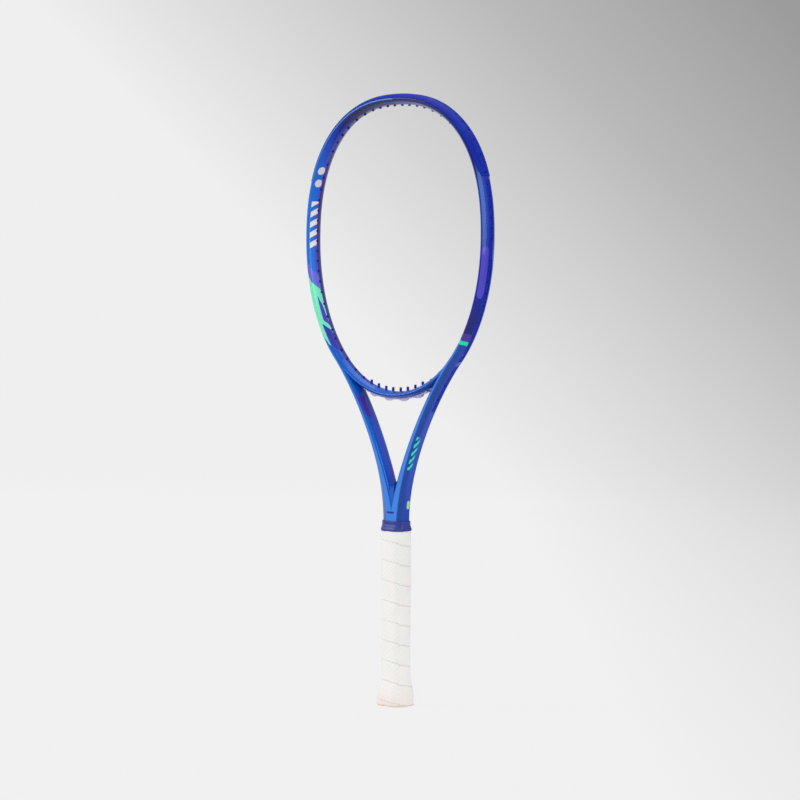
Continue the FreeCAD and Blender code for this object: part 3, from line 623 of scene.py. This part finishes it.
    tree.links.new(bump.outputs["Normal"], shader.inputs["Normal"])
    return made


paint = frame_paint()
frame_tube.data.materials.clear()
frame_tube.data.materials.append(paint)
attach(frame_tube, "racket")
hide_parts("frame_hairpin")

# ---- the throat bridge -------------------------------------------------------
# A short carbon piece that closes the hoop between the arms.  It is moulded with
# a crease along its face, bonded to the arms and painted with them.


def bridge():
    """The tube's outline, 9.8 mm half deep, carried round the hoop's lowest part."""
    angle = np.linspace(LEAVE_ANGLE - .01, -math.pi - LEAVE_ANGLE + .01, 121)
    inner, normal = hoop(angle)
    outer = inner + normal * bridge_width(angle)[:, None]
    shape = HOOP_PROFILE + np.array([[0, 0], [-.1, -.03], [0, 0], [-.1, 0], [0, 0], [0, 0]])
    front = front_corners(inner, outer, np.full(121, .0098), np.broadcast_to(shape, (121, 6, 2)))
    corners = np.concatenate([front, front[:, ::-1] * [1, -1]], 1)
    cut = np.array([1.2, .9, .6, .6, .9, .6, .6, .9, .6, .6, .9, 1.2]) / 1000
    outline, place = rounded(corners, cut, [(.5,)] * 11 + [(.25, .5, .75)])
    facet = facet_of(np.append(place, place[0] + 12), 12)
    uv = np.stack(np.broadcast_arrays(np.linspace(.40, .60, 121)[:, None], facet), -1)
    points = swept(inner, outer, outline)
    return piece("bridge_shell", points, quads(*points.shape[:2]), quad_uv(uv))


bridge_shell = drilled(tidy(bridge()), both(BRIDGE_LINES), .00125, .004)
bridge_shell.data.materials.clear()
bridge_shell.data.materials.append(paint)
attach(bridge_shell, "racket")
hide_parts("throat_bridge")

# ---- grommets: head guard, side strips, shoulder strips ----------------------
# Moulded nylon strips with a barrel for every string.  They press into the
# groove; the guard also covers the hoop's outer facets against the court.


def barrels(lines):
    """Grommet barrels: wall 1.45 mm outside, 0.85 mm inside, with a rolled inner lip."""
    length = np.linalg.norm(lines[:, 1] - lines[:, 0], axis=-1)[:, None]
    radius = np.array([1.45, 1.45, 1.36, 1.15, .96, .86, .85]) / 1000
    near = np.array([[0, .00045, .00012, 0, .00010, .00040, 0]])
    return turned(lines, radius, near + length * np.array([[1, 0, 0, 0, 0, 0, 1]]), 14, True)


def with_barrels(made, lines):
    """The strip with its barrels added as closed shells of the same mesh."""
    points, faces = barrels(lines)
    extra = tidy(piece("barrels", points, faces), sharp=50)
    bm = bmesh.new()
    bm.from_mesh(made.data)
    bm.from_mesh(extra.data)
    bm.to_mesh(made.data)
    bm.free()
    bpy.data.objects.remove(extra)
    return made


def strip(name, p, low, high, half):
    """Strip in the groove: a rounded oblong carried along the tube's outer line."""
    inner, outer, _, _ = station(p)
    width = np.linalg.norm(outer - inner, axis=-1)
    corners = np.stack([np.stack([width + a, 0 * width + b], -1) for a, b in
                        ((low, -half), (high, -half), (high, half), (low, half))], 1)
    outline, _ = rounded(corners, np.full(4, .0004), [(), (.2, .5, .8), (), (.5,)])
    points = swept(inner, outer, outline)
    return tidy(piece(name, points, quads(*points.shape[:2])))


def p_at(angle):
    """Station of a hoop angle."""
    return (float(angle) - math.pi / 2) / (LEAVE_ANGLE - math.pi / 2)


def arm_p(z):
    """Station on the arm whose outer point has a height."""
    p = np.linspace(1, 2, 4001)
    return float(p[abs(station(p)[1][:, 1] - z).argmin()])


def guard_outline(p):
    """Skin over the outer facets, 0.9 mm thick, with a low rib along its middle.
    Near its ends the front and back flanges narrow to a blade."""
    inner, outer, depth, shares = station(p)
    corners = front_corners(inner, outer, depth, shares)
    width = corners[:, 5, 0]
    edge, corner, side = corners[:, 3], corners[:, 4], corners[:, 5]
    blade = np.clip((GUARD_LOW + .0205 - outer[:, 1]) / .018, 0, 1)[:, None]
    first = edge + (corner - edge) * (.2 + .78 * blade)
    out = lambda point, a, b: point + np.stack([0 * width + a, 0 * width - b], -1)
    t = .0009
    front = [out(first, -.0003, -.0003), out(first, t * .3, t * .55), out(corner, t * .75, t * .7),
             out(side, t, t * .4), np.stack([width + t, 0 * width - .0022], -1),
             np.stack([width + t * .55, 0 * width - .0017], -1)]
    back = [point * [1, -1] for point in front[::-1]]
    low_side, low_corner = out(side, -.0004, 0), out(corner, -.0004, -.0004)
    under = [low_corner * [1, -1], low_side * [1, -1], low_side, low_corner]
    ring = np.stack(front + back + under, 1)
    cut = np.array([.1, .35, .9, .7, .3, .2, .2, .3, .7, .9, .35, .1, .3, .3, .3, .3]) / 1000
    outline, _ = rounded(ring, cut, [(), (.5,), (.5,), (), (), (), (), (), (.5,), (.5,), (), (), (), (), (), ()])
    return inner, outer, outline


def guard():
    """The guard as a grid, right half."""
    p = np.linspace(0, p_at(angle_at_z(GUARD_LOW)), 121)
    inner, outer, outline = guard_outline(p)
    points = swept(inner, outer, outline)
    return tidy(piece("guard_shell", points, quads(*points.shape[:2])), half=True)


def moulded_grain():
    """Fine spark-eroded grain of moulded plastic, with a faint cloudy flow."""
    tree, ins, outs = group("moulded_grain", {"Grain Size": .0005, "Flow": .3},
                            {"Height": "Float", "Cloud": "Float"})
    place = add(tree, "ShaderNodeTexCoord").outputs["Object"]
    scale = calc(tree, "DIVIDE", 1.0, ins.outputs["Grain Size"])
    grain = add(tree, "ShaderNodeTexNoise", {"Vector": place, "Scale": scale, "Detail": 4.0, "Roughness": .65})
    flow = add(tree, "ShaderNodeTexNoise", {"Vector": place, "Scale": 60.0, "Detail": 3.0})
    tree.links.new(grain.outputs["Fac"], outs.inputs["Height"])
    tree.links.new(calc(tree, "MULTIPLY", flow.outputs["Fac"], ins.outputs["Flow"]), outs.inputs["Cloud"])
    return tree


GRAIN = moulded_grain()


def moulded(name, dark, light, rough, bump, size=.0005, flow=1.0, marks=.3, **constants):
    """A moulded plastic, foam or rubber: two tones of one colour, grain and rubs."""
    made, tree, shader = material(name, **constants)
    grain = placed(tree, GRAIN, {"Grain Size": size, "Flow": flow})
    rubs = placed(tree, MARKS, {"Amount": marks, "Size": .008})
    tone = mixed(tree, grain.outputs["Cloud"], colour(dark), colour(light))
    rubbed = calc(tree, "MULTIPLY", rubs.outputs["Mask"], .35)
    tree.links.new(mixed(tree, rubbed, tone, colour(light)), shader.inputs["Base Color"])
    tree.links.new(calc(tree, "MULTIPLY_ADD", rubs.outputs["Mask"], .2, rough), shader.inputs["Roughness"])
    lift = add(tree, "ShaderNodeBump", {"Height": grain.outputs["Height"], "Strength": bump, "Distance": .0002})
    tree.links.new(lift.outputs["Normal"], shader.inputs["Normal"])
    return made


grommet_nylon = moulded("grommet_nylon", "#02168c", "#0630b4", .45, .04, marks=.03, Specular_IOR_Level=.15)
CROSS_UP, CROSS_SIDE = CROSS_LINES[CROSS_Z > GUARD_LOW], CROSS_LINES[(CROSS_Z < GUARD_LOW) & (CROSS_Z > .4036)]
side_p = np.linspace(p_at(angle_at_z(GUARD_LOW - .001)), p_at(angle_at_z(.4036)), 101)
shoulder_p = np.linspace(side_p[-1] + .012, arm_p(SHOULDER_LOW), 41)
guard_shell = drilled(guard(), both(np.concatenate([HEAD_LINES, CROSS_UP])), .0012, .004)
with_barrels(guard_shell, both(np.concatenate([HEAD_LINES, CROSS_UP])))
side_band = strip("side_band_right", side_p, -.0012, -.0004, .00295)
side_band = tidy(drilled(side_band, CROSS_SIDE, .0012, .004))
with_barrels(side_band, CROSS_SIDE)
shoulder_band = strip("shoulder_band_right", shoulder_p, -.0012, -.0004, .00295)
shoulder_band = tidy(drilled(shoulder_band, SHOULDER_LINES, .0012, .004))
with_barrels(shoulder_band, SHOULDER_LINES)


def left_twin(made, name):
    """The left-hand twin of a finished right-hand piece."""
    mesh = made.data.copy()
    bm = bmesh.new()
    bm.from_mesh(mesh)
    bmesh.ops.scale(bm, vec=(-1, 1, 1), verts=bm.verts)
    bmesh.ops.reverse_faces(bm, faces=bm.faces)
    bm.to_mesh(mesh)
    bm.free()
    twin = bpy.data.objects.new(name, mesh)
    bpy.context.scene.collection.objects.link(twin)
    return twin


for made, node in ((guard_shell, "head_guard"), (side_band, "side_strip_right"),
                   (shoulder_band, "shoulder_grommets_right"),
                   (left_twin(side_band, "side_band_left"), "side_strip_left"),
                   (left_twin(shoulder_band, "shoulder_band_left"), "shoulder_grommets_left")):
    made.data.materials.clear()
    made.data.materials.append(grommet_nylon)
    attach(made, "racket")
    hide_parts(node)

# ---- throat strip ------------------------------------------------------------
# Soft milky nylon under the bridge, with four saddles where a string turns from
# one main to the next, and dark barrels that stand up through the bridge.


def throat_band():
    """Band under the bridge: 1.5 mm thick, thicker at each saddle by a 7 mm circle."""
    limit = float(angle_at_x(.042, False))
    angle = np.linspace(limit, -math.pi - limit, 161)
    inner, normal = hoop(angle)
    outer = inner + normal * bridge_width(angle)[:, None]
    width = np.linalg.norm(outer - inner, axis=-1)
    centres = np.array([.0106, .03175, -.0106, -.03175])
    away = np.minimum(abs(outer[:, :1] - centres).min(1), .00699)
    thick = np.maximum(.0013, np.sqrt(.007 ** 2 - away ** 2) - .007 + .0034)
    face, rim = width + thick, width + thick * .8
    corners = np.stack([np.stack([point, 0 * width + half], -1) for point, half in (
        (width - .0002, -.0035), (rim, -.0035), (face, -.0024),
        (face, .0024), (rim, .0035), (width - .0002, .0035))], 1)
    outline, _ = rounded(corners, np.full(6, .0005), [(.5,), (), (.3, .7), (), (.5,), (.3, .7)])
    points = swept(inner, outer, outline)
    return tidy(piece("throat_band", points, quads(*points.shape[:2])))


throat_shell = tidy(drilled(throat_band(), both(BRIDGE_LINES), .0012, .004))
plain_faces = len(throat_shell.data.polygons)
with_barrels(throat_shell, both(BRIDGE_LINES))
clear_nylon = moulded("clear_nylon", "#9f98d0", "#d9d5ee", .30, .10, flow=1.0, IOR=1.5,
                      Subsurface_Weight=.3, Subsurface_Scale=.002)
throat_shell.data.materials.clear()
throat_shell.data.materials.append(clear_nylon)
throat_shell.data.materials.append(grommet_nylon)
slot_index = np.zeros(len(throat_shell.data.polygons), np.int32)
slot_index[plain_faces:] = 1
throat_shell.data.polygons.foreach_set("material_index", slot_index)
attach(throat_shell, "racket")
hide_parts("throat_strip")

# ---- butt cap and its badge ----------------------------------------------------
# A pale moulded cap on the end of the handle.  Its flare spreads the wrap, and
# only its rim shows below it.  The badge is a blank disc pressed into the underside.

BUTT_X, BUTT_Y, GRIP_X, GRIP_Y, BEVEL = .0204, .0179, .01615, .01395, .0054
FLARE_Z = np.array([0, .0016, .0050, .0125, .0190, .0280, .0370, .2200])
FLARE_SHARE = np.array([.97, .97, 1.0, .97, .68, .22, 0, 0])


def octagons(x, y, cut, radius, z):
    """Octagons about the Z axis, one for each height, with rounded corners; `cut` is
    what the bevels take off along x and along y."""
    x, y, cut_x, cut_y, z = np.broadcast_arrays(x, y, *np.broadcast_to(cut, (2,) + np.shape(z)), z)
    corners = np.stack([np.stack(pair, -1) for pair in (
        (x, cut_y - y), (x, y - cut_y), (x - cut_x, y), (cut_x - x, y),
        (-x, y - cut_y), (-x, cut_y - y), (cut_x - x, -y), (x - cut_x, -y))], 1)
    outline, place = rounded(corners, np.full(8, radius), [(.25, .5, .75)] * 8)
    return np.concatenate([outline, np.broadcast_to(z[:, None, None], outline.shape[:2] + (1,))], -1), place


def grip_level(z, grow):
    """Half sizes and bevel of the wrapped grip at heights: straight, then the butt's flare."""
    share = np.interp(z, FLARE_Z, FLARE_SHARE)
    share = np.where(z < .037, share, 0)
    x = GRIP_X + (BUTT_X - GRIP_X) * share + grow
    y = GRIP_Y + (BUTT_Y - GRIP_Y) * share + grow
    return x, y, BEVEL + (x - .0144) * .586


def stack(name, levels, radius):
    """Closed solid through octagon levels (grow, height) from one pole to the other."""
    grow, z, scale = np.array(levels).T
    x, y, cut = grip_level(np.maximum(z, .0016), grow)
    points, _ = octagons(x * scale, y * scale, cut * scale, radius, z)
    return tidy(piece(name, points, quads(*points.shape[:2])))


cap = stack("butt_cap_shell", [
    (-.0030, .0010, 0), (-.0030, .0010, .44), (-.0030, 0, .46), (-.0018, 0, .9), (-.0012, .0001, 1),
    (-.0002, .0006, 1), (0, .0011, 1), (-.0003, .0014, 1), (-.0018, .0016, 1), (-.0018, .0050, 1),
    (-.0018, .0125, 1), (-.0018, .0190, 1), (-.0018, .0280, 1), (-.0030, .0282, 1), (-.0032, .0190, 1),
    (-.0040, .0100, 1), (-.0045, .0030, 1), (-.0045, .0030, 0)], .0030)
cap_plastic = moulded("cap_plastic", "#e9b898", "#f7dcc6", .45, .12, Subsurface_Weight=.1, Subsurface_Scale=.002)
cap.data.materials.append(cap_plastic)
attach(cap, "racket")
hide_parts("butt_cap")

badge, tree, shader = material("badge_enamel", Coat_Weight=.8, Coat_Roughness=.08)
flakes = placed(tree, FLAKES, {"Flake Size": .0003, "Ripple": .3})
place = add(tree, "ShaderNodeTexCoord").outputs["Object"]
away = add(tree, "ShaderNodeVectorMath", {0: place}, operation="LENGTH").outputs["Value"]
enamel = mixed(tree, flakes.outputs["Flake"], colour("#15236e"), colour("#2540a8"))
rim = step(tree, away, .0076, .0001)
tree.links.new(mixed(tree, rim, enamel, colour("#c9ccd6")), shader.inputs["Base Color"])
tree.links.new(calc(tree, "MULTIPLY_ADD", flakes.outputs["Flake"], .15, .25), shader.inputs["Roughness"])
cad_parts["butt_badge"].data.materials.clear()
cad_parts["butt_badge"].data.materials.append(badge)

# ---- inside the handle -----------------------------------------------------------
# Two hard foam shells moulded on the tube's legs, foam plugs in the leg ends,
# steel staples that pin the cap, the tack that holds the wrap's start, and the
# woven tape over the wrap's end.

handle_foam = moulded("handle_foam", "#cbbf9a", "#e2d8bb", .75, .5, size=.0012, marks=.2)


def brushed_wire():
    """Bright drawn wire: fine streaks along it change its roughness."""
    made, tree, shader = material("steel_wire", Metallic=1.0)
    place = add(tree, "ShaderNodeTexCoord").outputs["Object"]
    slim = add(tree, "ShaderNodeMapping", {"Vector": place, "Scale": (200.0, 3000.0, 3000.0)})
    streak = add(tree, "ShaderNodeTexNoise",
                 {"Vector": slim.outputs[0], "Scale": 1.0, "Detail": 3.0}).outputs["Fac"]
    tree.links.new(mixed(tree, streak, colour("#8f9196"), colour("#c9cbd0")), shader.inputs["Base Color"])
    tree.links.new(calc(tree, "MULTIPLY_ADD", streak, .3, .2), shader.inputs["Roughness"])
    return made


def woven_tape():
    """Plain weave of adhesive tape: two crossed waves give the threads."""
    made, tree, shader = material("woven_tape", Sheen_Weight=.3)
    place = own_place(tree)
    across = calc(tree, "SINE", calc(tree, "MULTIPLY", calc(tree, "ADD", place[0], place[1]), 9000.0))
    up = calc(tree, "SINE", calc(tree, "MULTIPLY", place[2], 9000.0))
    weave = calc(tree, "MULTIPLY_ADD", calc(tree, "MULTIPLY", across, up), .5, .5)
    tree.links.new(mixed(tree, weave, colour("#141d4e"), colour("#2a3a8c")), shader.inputs["Base Color"])
    tree.links.new(calc(tree, "MULTIPLY_ADD", weave, -.2, .8), shader.inputs["Roughness"])
    lift = add(tree, "ShaderNodeBump", {"Height": weave, "Strength": .4, "Distance": .0002})
    tree.links.new(lift.outputs["Normal"], shader.inputs["Normal"])
    return made


steel, tape = brushed_wire(), woven_tape()
for node, finish in (("pallet_front", handle_foam), ("pallet_back", handle_foam),
                     ("leg_plug_right", handle_foam), ("leg_plug_left", handle_foam),
                     ("cap_staples", steel), ("grip_tack", steel), ("finishing_tape", tape)):
    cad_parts[node].data.materials.clear()
    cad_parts[node].data.materials.append(finish)

# ---- the wrap ----------------------------------------------------------------------
# A long strip of perforated cushion grip, stapled at the butt and wound up the
# handle with each turn lapped over the one below, then taped off at the top.

WRAP_LOW, WRAP_TOP, PITCH = .0014, .1972, .0225
STRIP_WIDTH, STRIP_LENGTH = .025, .86


def lap(t):
    """Height of the wrap's face over its mean at a share t across one turn.
    The lower edge is rolled over the turn below; a crease runs just under it, and
    the face is slightly crowned between."""
    rolled = .00034 * np.exp(-t / .06) - .00042 * np.exp(-(t / .012) ** 2) - .00034 * np.exp(-((1 - t) / .020) ** 2)
    return rolled + .00008 * np.sin(math.pi * t)


def wrap():
    """Helical grid: turn by turn round the handle, share by share across the strip.
    Height is top - pitch * turn + pitch * share; the section is the grip's rounded
    octagon at that height, pushed out along its own radius by lap(share)."""
    share = np.concatenate([[0, .006, .014, .026, .045, .075, .12, .18],
                            np.linspace(.25, .90, 10), [.94, .965, .982, .993, 1]])
    unit, _ = octagons(np.array([GRIP_X]), np.array([GRIP_Y]), np.array([.0064]), .0052, np.array([0.0]))
    around = len(unit[0])
    count = int(math.ceil((WRAP_TOP - WRAP_LOW) / PITCH) + 2) * around
    turn = np.arange(count + 1) / around
    z = WRAP_TOP + PITCH * .35 - PITCH * turn[:, None] + PITCH * share
    x, y, cut = grip_level(np.clip(z, .0, .25).ravel(), -.0004)
    rings, _ = octagons(x, y, cut, .0052, z.ravel())
    column = np.tile(np.arange(count + 1) % around, (len(share), 1)).T.ravel()
    points = rings[np.arange(len(column)), column].reshape(count + 1, len(share), 3)
    push = points * [1, 1, 0]
    push /= np.linalg.norm(push, axis=-1, keepdims=True)
    points = points + push * (lap(share) + .0001)[:, None]
    length = turn * (STRIP_LENGTH / (turn[-1] - 2))
    uv = np.stack(np.broadcast_arrays(length[:, None], share * PITCH), -1)
    return piece("grip_wrap", points, quads(*points.shape[:2], around=False), quad_uv(uv))


def wrap_skin():
    """White synthetic leather with punched dimples in staggered rows.
    A dimple is a soft disc in each cell of a 3.1 by 2.8 mm grid on the strip's own
    UV, every other row moved half a cell; fine grain lies between."""
    made, tree, shader = material("wrap_skin", Sheen_Weight=.3, Sheen_Roughness=.5,
                                  Subsurface_Weight=.1, Subsurface_Scale=.001)
    uv = add(tree, "ShaderNodeUVMap", uv_map="surface").outputs["UV"]
    uv = add(tree, "ShaderNodeSeparateXYZ", {"Vector": uv}).outputs
    row = calc(tree, "DIVIDE", uv[1], .0028125)
    odd = calc(tree, "MULTIPLY", calc(tree, "MODULO", calc(tree, "FLOOR", row), 2.0), .5)
    col = calc(tree, "ADD", calc(tree, "DIVIDE", uv[0], .0031), odd)
    dx = calc(tree, "MULTIPLY", calc(tree, "SUBTRACT", calc(tree, "FRACT", col), .5), .0031)
    dy = calc(tree, "MULTIPLY", calc(tree, "SUBTRACT", calc(tree, "FRACT", row), .5), .0028125)
    far = calc(tree, "SQRT", calc(tree, "ADD", calc(tree, "MULTIPLY", dx, dx), calc(tree, "MULTIPLY", dy, dy)))
    dimple = calc(tree, "SUBTRACT", 1.0, step(tree, far, .00050, .00030))
    edge = between(tree, uv[1], .0002, .0222, .0003)
    grain = placed(tree, GRAIN, {"Grain Size": .0004, "Flow": 1.0})
    rubs = placed(tree, MARKS, {"Amount": .5, "Size": .02})
    skin = mixed(tree, grain.outputs["Cloud"], colour("#f3f1ee"), colour("#fbfaf8"))
    low = calc(tree, "SUBTRACT", 1.0, step(tree, add(tree, "ShaderNodeSeparateXYZ", {
        "Vector": add(tree, "ShaderNodeTexCoord").outputs["Object"]}).outputs[2], .012, .016))
    skin = mixed(tree, calc(tree, "MULTIPLY", low, .7), skin, colour("#f7e7dc"))
    skin = mixed(tree, calc(tree, "MULTIPLY", rubs.outputs["Mask"], .08), skin, colour("#dcd6cf"))
    # each dimple is darkened toward grey: painted shade in the punched recess
    skin = mixed(tree, calc(tree, "MULTIPLY", dimple, .20), skin, colour("#bdb7b0"))
    # the strip's edges are darkened: painted shade along the seams where the turns lap
    skin = mixed(tree, calc(tree, "SUBTRACT", 1.0, edge), skin, colour("#d8d2cc"))
    tree.links.new(skin, shader.inputs["Base Color"])
    tree.links.new(calc(tree, "MULTIPLY_ADD", dimple, .2, .52), shader.inputs["Roughness"])
    height = calc(tree, "SUBTRACT", calc(tree, "MULTIPLY", grain.outputs["Height"], .12), dimple)
    lift = add(tree, "ShaderNodeBump", {"Height": height, "Strength": .30, "Distance": .0003})
    tree.links.new(lift.outputs["Normal"], shader.inputs["Normal"])
    return made


def trimmed_wrap():
    """The wrap cut level at the butt and under the collar, then given its thickness."""
    made = wrap()
    bm = bmesh.new()
    bm.from_mesh(made.data)
    bmesh.ops.remove_doubles(bm, verts=bm.verts, dist=2e-6)
    for place, way in (((0, 0, WRAP_LOW), (0, 0, -1)), ((0, 0, WRAP_TOP), (0, 0, 1))):
        bmesh.ops.bisect_plane(bm, geom=bm.verts[:] + bm.edges[:] + bm.faces[:], dist=1e-7,
                               plane_co=place, plane_no=way, clear_outer=True)
    bmesh.ops.recalc_face_normals(bm, faces=bm.faces)
    bm.to_mesh(made.data)
    bm.free()
    made.data.shade_smooth()
    made.data.set_sharp_from_angle(angle=math.radians(60))
    thickness = made.modifiers.new("thickness", "SOLIDIFY")
    thickness.thickness, thickness.offset = .0011, -1
    return made


grip_wrap = trimmed_wrap()
grip_wrap.data.materials.append(wrap_skin())
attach(grip_wrap, "racket")
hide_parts("base_grip")

# ---- the collar --------------------------------------------------------------------
# A soft rubber ring that hides the end of the wrap: a lip that hugs the shaft and
# a flared skirt.  It is stretched on over the tape and can be slid up the shaft.

COLLAR_LOW = .1976


def collar():
    """Rings from the skirt's bead up over the shoulder to the lip and down inside.
    Each ring is an octagon between the shaft's (share 0) and the wrap's (share 1)."""
    share = np.array([1, 1, 1, 1, .93, .62, .36, .2, .13, .1, .06, .04, .02, 0, 0, 0, 0, .55, .9, .97])
    grow = np.array([-.12, .22, .36, .30, .30, .50, .72, .92, 1.0, 1.05,
                     1.15, 1.2, 1.05, 1.0, .70, .66, .66, -.35, -.35, -.3]) / 1000
    z = np.array([.02, .02, .5, 1.3, 2.4, 4.1, 5.4, 6.2, 7.2, 8.6,
                  9.5, 10.4, 10.85, 11.0, 10.95, 10.4, 6.2, 3.2, 1.4, .1]) / 1000
    x = SHAFT_HALF + (GRIP_X - SHAFT_HALF) * share + grow
    y = SHAFT_DEPTH + (GRIP_Y - SHAFT_DEPTH) * share + grow
    cut = np.array([(SHAFT_HALF - .00765) * (1 - share), (SHAFT_DEPTH - .00495) * (1 - share)])
    points, _ = octagons(x, y, cut + .0064 * share, .0026, COLLAR_LOW + z)
    return tidy(piece("collar_ring", points, quads(*points.shape[:2], along=True)), sharp=70)


collar_ring = collar()
collar_rubber = moulded("collar_rubber", "#1c2880", "#3844a0", .36, .15, size=.0006, marks=.1,
                        Specular_IOR_Level=.35)
collar_ring.data.materials.append(collar_rubber)
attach(collar_ring, "collar")
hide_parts("grip_collar")

# ---- floor, light and camera -----------------------------------------------------------
# A pale sweep of paper behind and under the racket, glowing with painted light that fades across it,
# soft boxes, and a long lens that looks at the racket's front from its right.

AZIMUTH, DISTANCE, HEIGHT = math.radians(39.98), 2.684, .470
sight = np.array([-math.sin(AZIMUTH), math.cos(AZIMUTH)])
side_way = np.array([math.cos(AZIMUTH), math.sin(AZIMUTH)])


def sweep():
    """Paper sweep: level, then a quarter circle of 1 m up to a wall, square to the sight."""
    bend = np.linspace(0, math.pi / 2, 25)
    far = np.concatenate([np.linspace(-5, 2.6, 20), 2.6 + np.sin(bend)[1:], [3.6]])
    high = np.concatenate([np.zeros(20), (1 - np.cos(bend))[1:], [4.5]])
    across = np.linspace(-5, 5, 11)
    far, high = far[:, None], high[:, None]
    points = np.stack(np.broadcast_arrays(
        sight[0] * far + side_way[0] * across, sight[1] * far + side_way[1] * across, high), -1)
    made = piece("sweep", points, quads(len(far), 11, around=False)[:, ::-1])
    made.data.shade_smooth()
    return made


backdrop = sweep()
glowing_paper, tree, shader = material("glowing_paper", Specular_IOR_Level=.1, Emission_Strength=1.0)
place = add(tree, "ShaderNodeTexCoord").outputs["Object"]
fibre = add(tree, "ShaderNodeTexNoise", {"Vector": place, "Scale": 260.0, "Detail": 3.0}).outputs["Fac"]
turn = add(tree, "ShaderNodeVectorMath", {0: place, 1: (side_way[0] * .70, side_way[1] * .70, .70)},
           operation="DOT_PRODUCT").outputs["Value"]
# the paper's emission fades from #ebebeb to #969696 towards the right and up: painted light falloff on a glowing
# backdrop
first = add(tree, "ShaderNodeMapRange", {"Value": turn, "From Min": .18, "From Max": 1.04}).outputs[0]
second = add(tree, "ShaderNodeMapRange", {"Value": turn, "From Min": 1.04, "From Max": 1.55}).outputs[0]
tone = mixed(tree, second, mixed(tree, first, colour("#ebebeb"), colour("#b4b4b4")), colour("#969696"))
tree.links.new(tone, shader.inputs["Emission Color"])
tree.links.new(mixed(tree, fibre, colour("#2c2c2c"), colour("#343434")), shader.inputs["Base Color"])
tree.links.new(calc(tree, "MULTIPLY_ADD", fibre, .1, .85), shader.inputs["Roughness"])
backdrop.data.materials.append(glowing_paper)


def soft_box(name, place, aim, size, power):
    """Area light at a place, turned to a point."""
    data = bpy.data.lights.new(name, "AREA")
    data.shape, data.size, data.size_y, data.energy = "RECTANGLE", size[0], size[1], power
    made = bpy.data.objects.new(name, data)
    bpy.context.scene.collection.objects.link(made)
    made.location = place
    way = np.array(aim) - np.array(place)
    made.rotation_euler = Vector(way).to_track_quat("-Z", "Y").to_euler()
    return made


soft_box("key", (-2.6, -2.2, 2.6), (0, 0, .45), (1.6, 2.2), 56)
soft_box("fill", (2.8, -1.2, 1.2), (0, 0, .40), (1.4, 2.0), 24)
soft_box("top", (0, .4, 3.0), (0, 0, .5), (2.4, 2.4), 24)
world = bpy.data.worlds.new("studio")
world.use_nodes = True
world.node_tree.nodes["Background"].inputs["Color"].default_value = (1, 1, 1, 1)
world.node_tree.nodes["Background"].inputs["Strength"].default_value = .56
bpy.context.scene.world = world
bpy.context.scene.view_settings.view_transform = "Standard"

lens = bpy.data.cameras.new("camera")
lens.lens, lens.sensor_width = 107.78, 36
camera = bpy.data.objects.new("camera", lens)
bpy.context.scene.collection.objects.link(camera)
a, pitch, roll = AZIMUTH + math.radians(-.073), math.radians(2.686), math.radians(.326)
right_way = np.array([math.cos(a), math.sin(a), 0])
ahead = np.array([-math.sin(a) * math.cos(pitch), math.cos(a) * math.cos(pitch), -math.sin(pitch)])
up_way = np.cross(right_way, ahead)
across = right_way * math.cos(roll) + up_way * math.sin(roll)
upward = up_way * math.cos(roll) - right_way * math.sin(roll)
camera.matrix_world = Matrix(np.vstack([np.column_stack([across, upward, -ahead, [
    DISTANCE * math.sin(AZIMUTH), -DISTANCE * math.cos(AZIMUTH), HEIGHT]]), [0, 0, 0, 1]]).tolist())
bpy.context.scene.camera = camera
